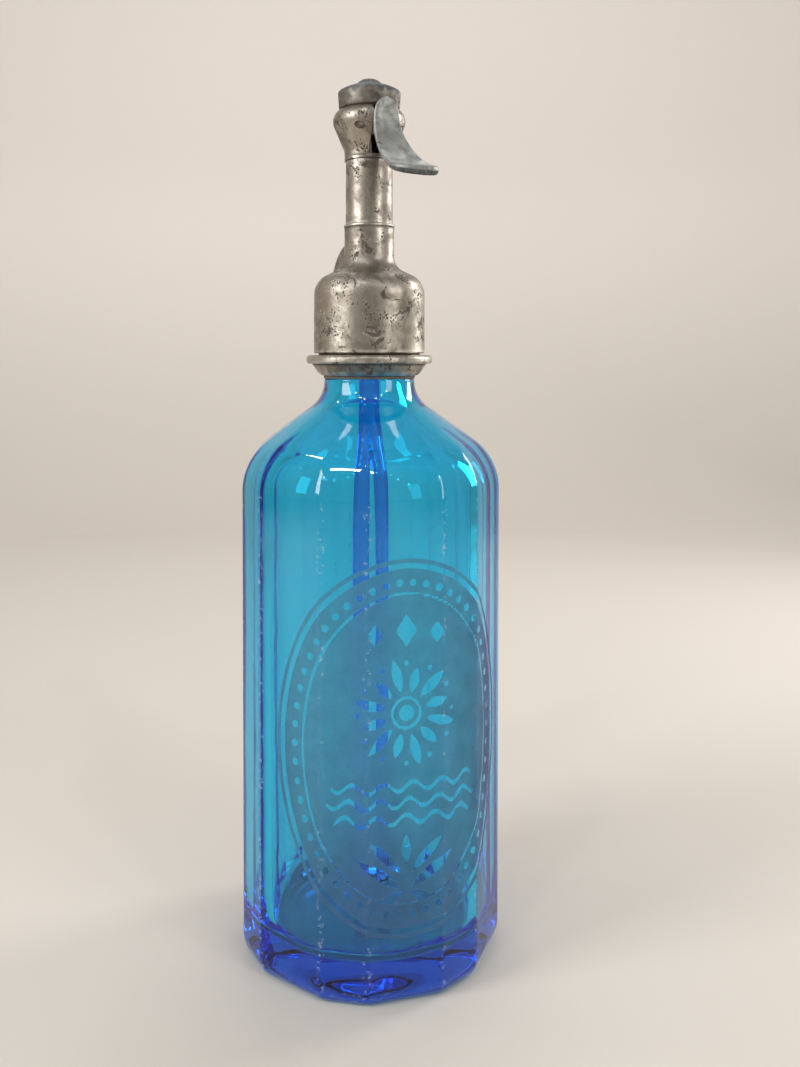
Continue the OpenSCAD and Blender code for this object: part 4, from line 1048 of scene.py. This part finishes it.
def makeLever(s):
    path = leverPath(s)
    tipPoint = path[-1][0]
    slant = ((tipPoint.x - s["faceX"]) + (s["noseZ"] - tipPoint.y)) / math.sqrt(2)
    span = slant - s["noseWidth"] - s["tipWidth"]
    lean = math.asin((s["tipWidth"] - s["noseWidth"]) / span)

    def halfWidth(q):
        low = s["noseWidth"] * (1 - math.sin(lean))
        high = s["noseWidth"] + span - s["tipWidth"] * math.sin(lean)
        if q < low:
            return math.sqrt(max(0, s["noseWidth"] ** 2 - (s["noseWidth"] - q) ** 2))
        if q > high:
            return math.sqrt(max(0, s["tipWidth"] ** 2 - (q - s["noseWidth"] - span) ** 2))
        t = (q - low) / (high - low)
        return math.cos(lean) * (s["noseWidth"] + (s["tipWidth"] - s["noseWidth"]) * t)

    across = 22
    front, back, verts, wear, grimeAndShade = [], [], [], [], []
    for point, angle in path:
        q = ((point.x - s["faceX"]) + (s["noseZ"] - point.y)) / math.sqrt(2)
        w = max(s["leastWidth"], halfWidth(min(max(q, 0), slant)))
        inward = direction(angle)
        share = q / slant
        dish = s["dish"] * math.exp(-((share - s["dishAt"]) / s["dishSpread"]) ** 2)
        swell = min(1, max(0, (share - s["swellFrom"]) / s["swellOver"])) ** 1.5
        frontRow, backRow = [], []
        for k in range(across + 1):
            t = math.sin(math.pi * (k / across - 0.5))
            edge = (1 - abs(t) ** max(2, 1.6 * w)) ** 0.5 if abs(t) < 1 else 0
            body = (s["thickness"] + (s["tipThickness"] - s["thickness"]) * swell) / 2
            belly = dish * (1 - t * t) - 0.12 * t * t
            for row, shift in ((frontRow, body * (1 - edge) + belly),
                               (backRow, body * (1 + edge) + belly * 0.35)):
                spot = point + inward * shift
                ripple = s["ripple"] * noise.noise(
                    Vector((spot.x, w * t, spot.y)) / s["rippleSize"])
                spot = spot + inward * abs(ripple)
                row.append(len(verts))
                verts.append((spot.x * mm, w * t * mm, spot.y * mm))
                face = s["faceWear"] if row is frontRow else 0
                wear.append((s["edgeWear"] if abs(t) > 0.93 else face) * (1 - swell))
                # the blade's back towards the tip is painted darker with the stain colour: painted
                # shade on its underside
                grimeAndShade.append(s["undersideShade"] * swell if row is backRow else 0)
        front.append(frontRow)
        back.append(backRow)
    faces = []
    for grid in (front, back):
        for low, high in zip(grid, grid[1:]):
            for k in range(across):
                faces.append((low[k], low[k + 1], high[k + 1], high[k]))
    for k in (0, -1):
        for i in range(len(path) - 1):
            faces.append((front[i][k], front[i + 1][k], back[i + 1][k], back[i][k]))
    for i in (0, -1):
        for k in range(across):
            faces.append((front[i][k], front[i][k + 1], back[i][k + 1], back[i][k]))
    blade = meshFrom("leverCasting", verts, faces, leverPewter, {"wear": wear, "grimeAndShade": grimeAndShade})
    pivot = (s["pivotX"], s["pivotZ"])
    boss = arcPoints(pivot, s["bossRadius"], 80, 280, 12)
    web = prism("leverWeb", boss + [(s["webX"], s["pivotZ"] - s["webLow"]),
                                    (s["webX"], s["pivotZ"] + s["webHigh"])],
                s["bodyWidth"], leverPewter)
    low, high = s["fingerZ"] - s["fingerThickness"], s["fingerZ"]
    end, root, rootTop = s["fingerX"]
    finger = [(end, low), (root, low), (rootTop, high), (end, high)]
    prongs = [prism("leverProng", finger, s["fingerWidth"], leverPewter, side * s["fingerY"])
              for side in (-1, 1)]
    for part in [web] + prongs:
        soften = part.modifiers.new("edges", "BEVEL")
        soften.width = s["edge"] * mm
        soften.segments = 3
        soften.limit_method = "ANGLE"
        keepResult(part)
    join = bmesh.new()
    join.from_mesh(blade.data)
    for part in [web] + prongs:
        join.from_mesh(part.data)
        bpy.data.objects.remove(part)
    bmesh.ops.recalc_face_normals(join, faces=join.faces)
    join.to_mesh(blade.data)
    join.free()
    blade.data.shade_smooth()
    blade.data.set_sharp_from_angle(angle=math.radians(50))
    return place(blade, "thumb_lever", "lever_pewter", "lever")


makeLever(leverShape)
print("lever made")


# Spout
spoutShape = {"radius": 4.8, "bore": 3.3, "rootX": -6.3, "startX": -10.0, "z": 255.6,
              "bend": 52.0, "bendRadius": 13.0, "turnRadius": 12.0, "reach": 29.5,
              "mouthZ": 216.4, "bead": 1.08}


def spoutRoute(s):
    bend = math.radians(s["bend"])
    bendEnd = (s["startX"] - s["bendRadius"] * math.sin(bend),
               s["z"] - s["bendRadius"] * (1 - math.cos(bend)))
    turnIn = s["turnRadius"] * (1 - math.sin(bend))
    run = (s["reach"] + bendEnd[0] - turnIn) / math.cos(bend)
    turnStart = (bendEnd[0] - run * math.cos(bend), bendEnd[1] - run * math.sin(bend))
    turnEndZ = turnStart[1] - s["turnRadius"] * math.cos(bend)
    route = [(s["rootX"], s["z"])]
    route += arcPoints((s["startX"], s["z"] - s["bendRadius"]), s["bendRadius"],
                       90, 90 + s["bend"], 4)
    route += arcPoints((-s["reach"] + s["turnRadius"], turnEndZ), s["turnRadius"],
                       90 + s["bend"], 180, 4)
    route += [(-s["reach"], s["mouthZ"] + 12), (-s["reach"], s["mouthZ"] + 2.2),
              (-s["reach"], s["mouthZ"] + 1.5), (-s["reach"], s["mouthZ"])]  # bead at the mouth
    return route


def sweepTree():
    # Sweeps a thick wall along the mesh's path of edges. Named attribute thick widens the bead.
    tree, given = startGroup("sweepPipe", "Radius", "Bore")
    path = addNode(tree, "GeometryNodeMeshToCurve", None, {"Mesh": given.outputs["Geometry"]})
    thick = addNode(tree, "GeometryNodeInputNamedAttribute", {"Name": "thick"}, data_type="FLOAT")
    sized = addNode(tree, "GeometryNodeSetCurveRadius", None,
                    {"Curve": path, "Radius": thick.outputs["Attribute"]})
    ring = addNode(tree, "GeometryNodeCurvePrimitiveCircle", {"Resolution": 56},
                   {"Radius": given.outputs["Radius"]})
    wall = addNode(tree, "GeometryNodeCurveToMesh", {"Fill Caps": True},
                   {"Curve": sized, "Profile Curve": ring})
    hollow = addNode(tree, "GeometryNodeCurvePrimitiveCircle", {"Resolution": 40},
                     {"Radius": given.outputs["Bore"]})
    position = addNode(tree, "GeometryNodeInputPosition")
    ends = addNode(tree, "GeometryNodeCurveEndpointSelection", {"Start Size": 1, "End Size": 1})
    tangent = addNode(tree, "GeometryNodeInputTangent")
    last = addNode(tree, "GeometryNodeCurveEndpointSelection", {"Start Size": 0, "End Size": 1})
    sign = addNode(tree, "GeometryNodeSwitch", {"False": -2 * mm, "True": 2 * mm},
                   {"Switch": last}, input_type="FLOAT")
    push = addNode(tree, "ShaderNodeVectorMath", None,
                   {0: tangent, "Scale": sign}, operation="SCALE")
    longer = addNode(tree, "GeometryNodeSetPosition", None,
                     {"Geometry": path, "Selection": ends,
                      "Position": position, "Offset": push})
    core = addNode(tree, "GeometryNodeCurveToMesh", {"Fill Caps": True},
                   {"Curve": longer, "Profile Curve": hollow})
    bored = addNode(tree, "GeometryNodeMeshBoolean", None,
                    {"Mesh 1": wall, "Mesh 2": core},
                    operation="DIFFERENCE", solver="EXACT")
    endGroup(tree, bored, given)
    return tree


def makeSpout(s):
    route = spoutRoute(s)
    mesh = bpy.data.meshes.new("spoutPath")
    mesh.from_pydata([(x * mm, 0, z * mm) for x, z in route],
                     [(i, i + 1) for i in range(len(route) - 1)], [])
    thick = [1.0] * len(route)
    thick[-2] = thick[-1] = s["bead"]
    mesh.attributes.new("thick", "FLOAT", "POINT").data.foreach_set("value", thick)
    piece = showObject("spoutPipe", mesh)
    sweep = piece.modifiers.new("sweep", "NODES")
    sweep.node_group = sweepTree()
    setInputs(sweep, {"Radius": s["radius"] * mm, "Bore": s["bore"] * mm, "Finish": castPewter})
    keepResult(piece)
    piece.data.set_sharp_from_angle(angle=math.radians(45))
    return place(piece, "siphon", "pewter", "spout")


makeSpout(spoutShape)
print("spout made")


# Spring; the real one shortens when the lever is pressed
springShape = {"radius": 3.7, "wireRadius": 0.55, "turns": 4.5, "lift": 2.9}


def springTree():
    # Winds round wire into a coil that climbs along Z from its foot.
    tree, given = startGroup("windSpring", "Radius", "Wire Radius", "Turns", "Rise", "Foot")
    coil = addNode(tree, "GeometryNodeCurveSpiral", {"Resolution": 40},
                   {"Rotations": given.outputs["Turns"], "Start Radius": given.outputs["Radius"],
                    "End Radius": given.outputs["Radius"], "Height": given.outputs["Rise"]})
    foot = addNode(tree, "ShaderNodeCombineXYZ", None, {"Z": given.outputs["Foot"]})
    lifted = addNode(tree, "GeometryNodeTransform", None, {"Geometry": coil, "Translation": foot})
    ring = addNode(tree, "GeometryNodeCurvePrimitiveCircle", {"Resolution": 16},
                   {"Radius": given.outputs["Wire Radius"]})
    wire = addNode(tree, "GeometryNodeCurveToMesh", {"Fill Caps": True},
                   {"Curve": lifted, "Profile Curve": ring})
    endGroup(tree, wire, given)
    return tree


def makeSpring(s):
    # it rides on the rod and is wound to the height of the CAD spring
    low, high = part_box("spring")
    tall = high.z - low.z
    wire = s["wireRadius"] * mm
    piece = showObject("springCoil", bpy.data.meshes.new("springCoil"))
    wind = piece.modifiers.new("wind", "NODES")
    wind.node_group = springTree()
    setInputs(wind, {"Radius": s["radius"] * mm, "Wire Radius": wire, "Turns": s["turns"],
                     "Rise": tall - 2 * wire, "Foot": low.z + wire, "Finish": stock["drawnSteel"]})
    keepResult(piece)
    piece.data.set_sharp_from_angle(angle=math.radians(50))
    place(piece, "valve_stem", "steel", "spring")
    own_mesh(piece)


makeSpring(springShape)
print("spring made")


# Small inner parts keep their CAD mesh and get a finish
stock["castPewter"] = castPewter
finishes = {
    "castPewter": ("split_ring_left", "split_ring_right"),
    "pressedRubber": ("bottle_gasket", "tube_seal", "head_gasket", "gland_seal", "valve_washer"),
    "ivoryPlastic": ("tube_holder",),
    "turnedBrass": ("valve_seat", "gland_nut", "washer_nut", "rod_head"),
    "drawnSteel": ("valve_rod",),
    "tarnishedSteel": ("lever_pin",),
    "tannedLeather": ("cap_washer",),
}
for finish, nodeNames in finishes.items():
    for nodeName in nodeNames:
        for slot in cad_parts[nodeName].material_slots:
            slot.material = stock[finish]
print("kept parts finished")


# Backdrop, camera and lamps
cameraSettings = {
    "azimuth": 65.1, "distance": 376.4, "height": 217.1, "downTilt": 1.41,
    "focalPixels": 1011.8, "framePixels": (800, 1067), "sensor": 36,
    "axisX": 369.3, "middleY": 377.7,  # pixels of the frame in which the camera's middle lies
}
stageSettings = {
    "floorColour": "#C8C1B8", "wallColour": "#DED7D0", "blendZ": (10, 500),
    "floorRadius": 3000, "floorZ": -0.3,  # a hair below the base, so that light gets under it
    "radius": 1500, "curve": 600, "wall": 1500, "wallAngle": 200, "rough": 0.85,
    "worldColour": "#F2EFEB", "worldStrength": 0.45,
}
lampAim = Vector((0, 0, 170)) * mm
lampSettings = [
    # name, degrees round from the camera, distance, height, width, length, watts
    ("keyLamp", -62, 900, 560, 360, 620, 6.3),
    ("fillLamp", 50, 950, 420, 260, 560, 2.3),
    ("rimLamp", 118, 800, 460, 240, 520, 3.4),
    ("topLamp", 175, 420, 1050, 500, 400, 2.4),
    ("leftSpot", -28, 900, 1300, 80, 80, 1.6),
    ("leftHighSpot", -16, 700, 1400, 70, 70, 0.5),
    ("leftLowSpot", -36, 1000, 900, 60, 60, 0.4),
    ("rightSpot", 34, 1000, 1200, 80, 80, 1.6),
    ("rightHighSpot", 22, 760, 1400, 70, 70, 0.5),
    ("rightLowSpot", 46, 1000, 800, 60, 60, 0.4),
    ("sideSpot", -100, 800, 1100, 60, 60, 0.5),
]
wallLampSettings = {"name": "wallLamp", "distance": 250, "height": 1450, "aimDistance": 1500,
                    "aimHeight": 500, "size": 900, "watts": 3.6, "spread": 105}


def makeStage(s, azimuth):
    material, tree = startMaterial("paperBackdrop")
    height = addNode(tree, "ShaderNodeSeparateXYZ", None,
                     {0: addNode(tree, "ShaderNodeTexCoord").outputs["Object"]})
    low, high = s["blendZ"]
    share = addNode(tree, "ShaderNodeMapRange", {"From Min": low * mm, "From Max": high * mm},
                    {"Value": height.outputs["Z"]}, interpolation_type="SMOOTHSTEP")
    colour = addNode(tree, "ShaderNodeMix",
                     {"A": toLinear(s["floorColour"]), "B": toLinear(s["wallColour"])},
                     {"Factor": share}, data_type="RGBA")
    surface = addNode(tree, "ShaderNodeBsdfPrincipled", {"Roughness": s["rough"]},
                      {"Base Color": colour.outputs["Result"]})
    addNode(tree, "ShaderNodeOutputMaterial", None, {"Surface": surface})
    # a round floor, and a curved wall that stands only behind the object
    profile = arcPoints((s["radius"] - s["curve"], s["curve"] + s["floorZ"]), s["curve"], -90, 0, 5)
    profile.append((s["radius"], s["wall"]))
    behind = azimuth + 90
    turns = 80
    floorPoints = [(math.cos(2 * math.pi * k / turns), math.sin(2 * math.pi * k / turns))
                   for k in range(turns)]
    verts = [(x * s["floorRadius"] * mm, y * s["floorRadius"] * mm, s["floorZ"] * mm)
             for x, y in floorPoints]
    faces = [tuple(range(turns))]
    start = len(verts)
    for k in range(turns + 1):
        a = math.radians(behind + s["wallAngle"] * (k / turns - 0.5))
        verts += [(r * math.cos(a) * mm, r * math.sin(a) * mm, z * mm) for r, z in profile]
    count = len(profile)
    for k in range(turns):
        for row in range(count - 1):
            here = start + k * count + row
            faces.append((here, here + 1, here + count + 1, here + count))
    mesh = bpy.data.meshes.new("backdrop")
    mesh.from_pydata(verts, [], faces)
    mesh.shade_smooth()
    mesh.materials.append(material)
    showObject("backdrop", mesh)
    world = bpy.data.worlds.new("studio")
    world.use_nodes = True
    world.node_tree.nodes.clear()
    sky = addNode(world.node_tree, "ShaderNodeBackground",
                  {"Color": toLinear(s["worldColour"]), "Strength": s["worldStrength"]})
    addNode(world.node_tree, "ShaderNodeOutputWorld", None, {"Surface": sky})
    bpy.context.scene.world = world


def makeCamera(s):
    data = bpy.data.cameras.new("photoCamera")
    camera = showObject("photoCamera", data)
    wide, high = s["framePixels"]
    data.sensor_width = s["sensor"]
    data.lens = s["focalPixels"] * s["sensor"] / high
    data.shift_x = (wide / 2 - s["axisX"]) / high
    data.shift_y = (s["middleY"] - high / 2) / high
    data.clip_start = 0.01
    a = math.radians(s["azimuth"])
    camera.location = (math.sin(a) * s["distance"] * mm, -math.cos(a) * s["distance"] * mm,
                       s["height"] * mm)
    camera.rotation_euler = (math.pi / 2 - math.radians(s["downTilt"]), 0, a)
    bpy.context.scene.camera = camera


def fromCamera(azimuth, around, distance, height):
    # a place given by its angle round the object, counted from the camera
    a = math.radians(azimuth + around)
    return Vector((math.sin(a) * distance, -math.cos(a) * distance, height)) * mm


def makeLamp(name, spot, aim, width, length, watts, spread=180):
    data = bpy.data.lights.new(name, "AREA")
    data.shape = "RECTANGLE"
    data.size = width * mm
    data.size_y = length * mm
    data.energy = watts
    data.spread = math.radians(spread)
    lamp = showObject(name, data)
    lamp.location = spot
    lamp.rotation_euler = (aim - spot).to_track_quat("-Z", "Y").to_euler()


def makeLamps(lamps, wall, azimuth):
    for name, around, distance, height, width, length, watts in lamps:
        makeLamp(name, fromCamera(azimuth, around, distance, height), lampAim, width, length, watts)
    makeLamp(wall["name"], fromCamera(azimuth, 180, wall["distance"], wall["height"]),
             fromCamera(azimuth, 180, wall["aimDistance"], wall["aimHeight"]),
             wall["size"], wall["size"], wall["watts"], wall["spread"])


makeStage(stageSettings, cameraSettings["azimuth"])
makeCamera(cameraSettings)
makeLamps(lampSettings, wallLampSettings, cameraSettings["azimuth"])
bpy.context.scene.view_settings.view_transform = "Standard"
# light runs on inside the thick glass, which would go black where it is cut off too soon
lightPaths = bpy.context.scene.cycles
glassBounces = 24
lightPaths.max_bounces = glassBounces
lightPaths.glossy_bounces = glassBounces
lightPaths.transmission_bounces = glassBounces
print("stage, camera and lamps made")
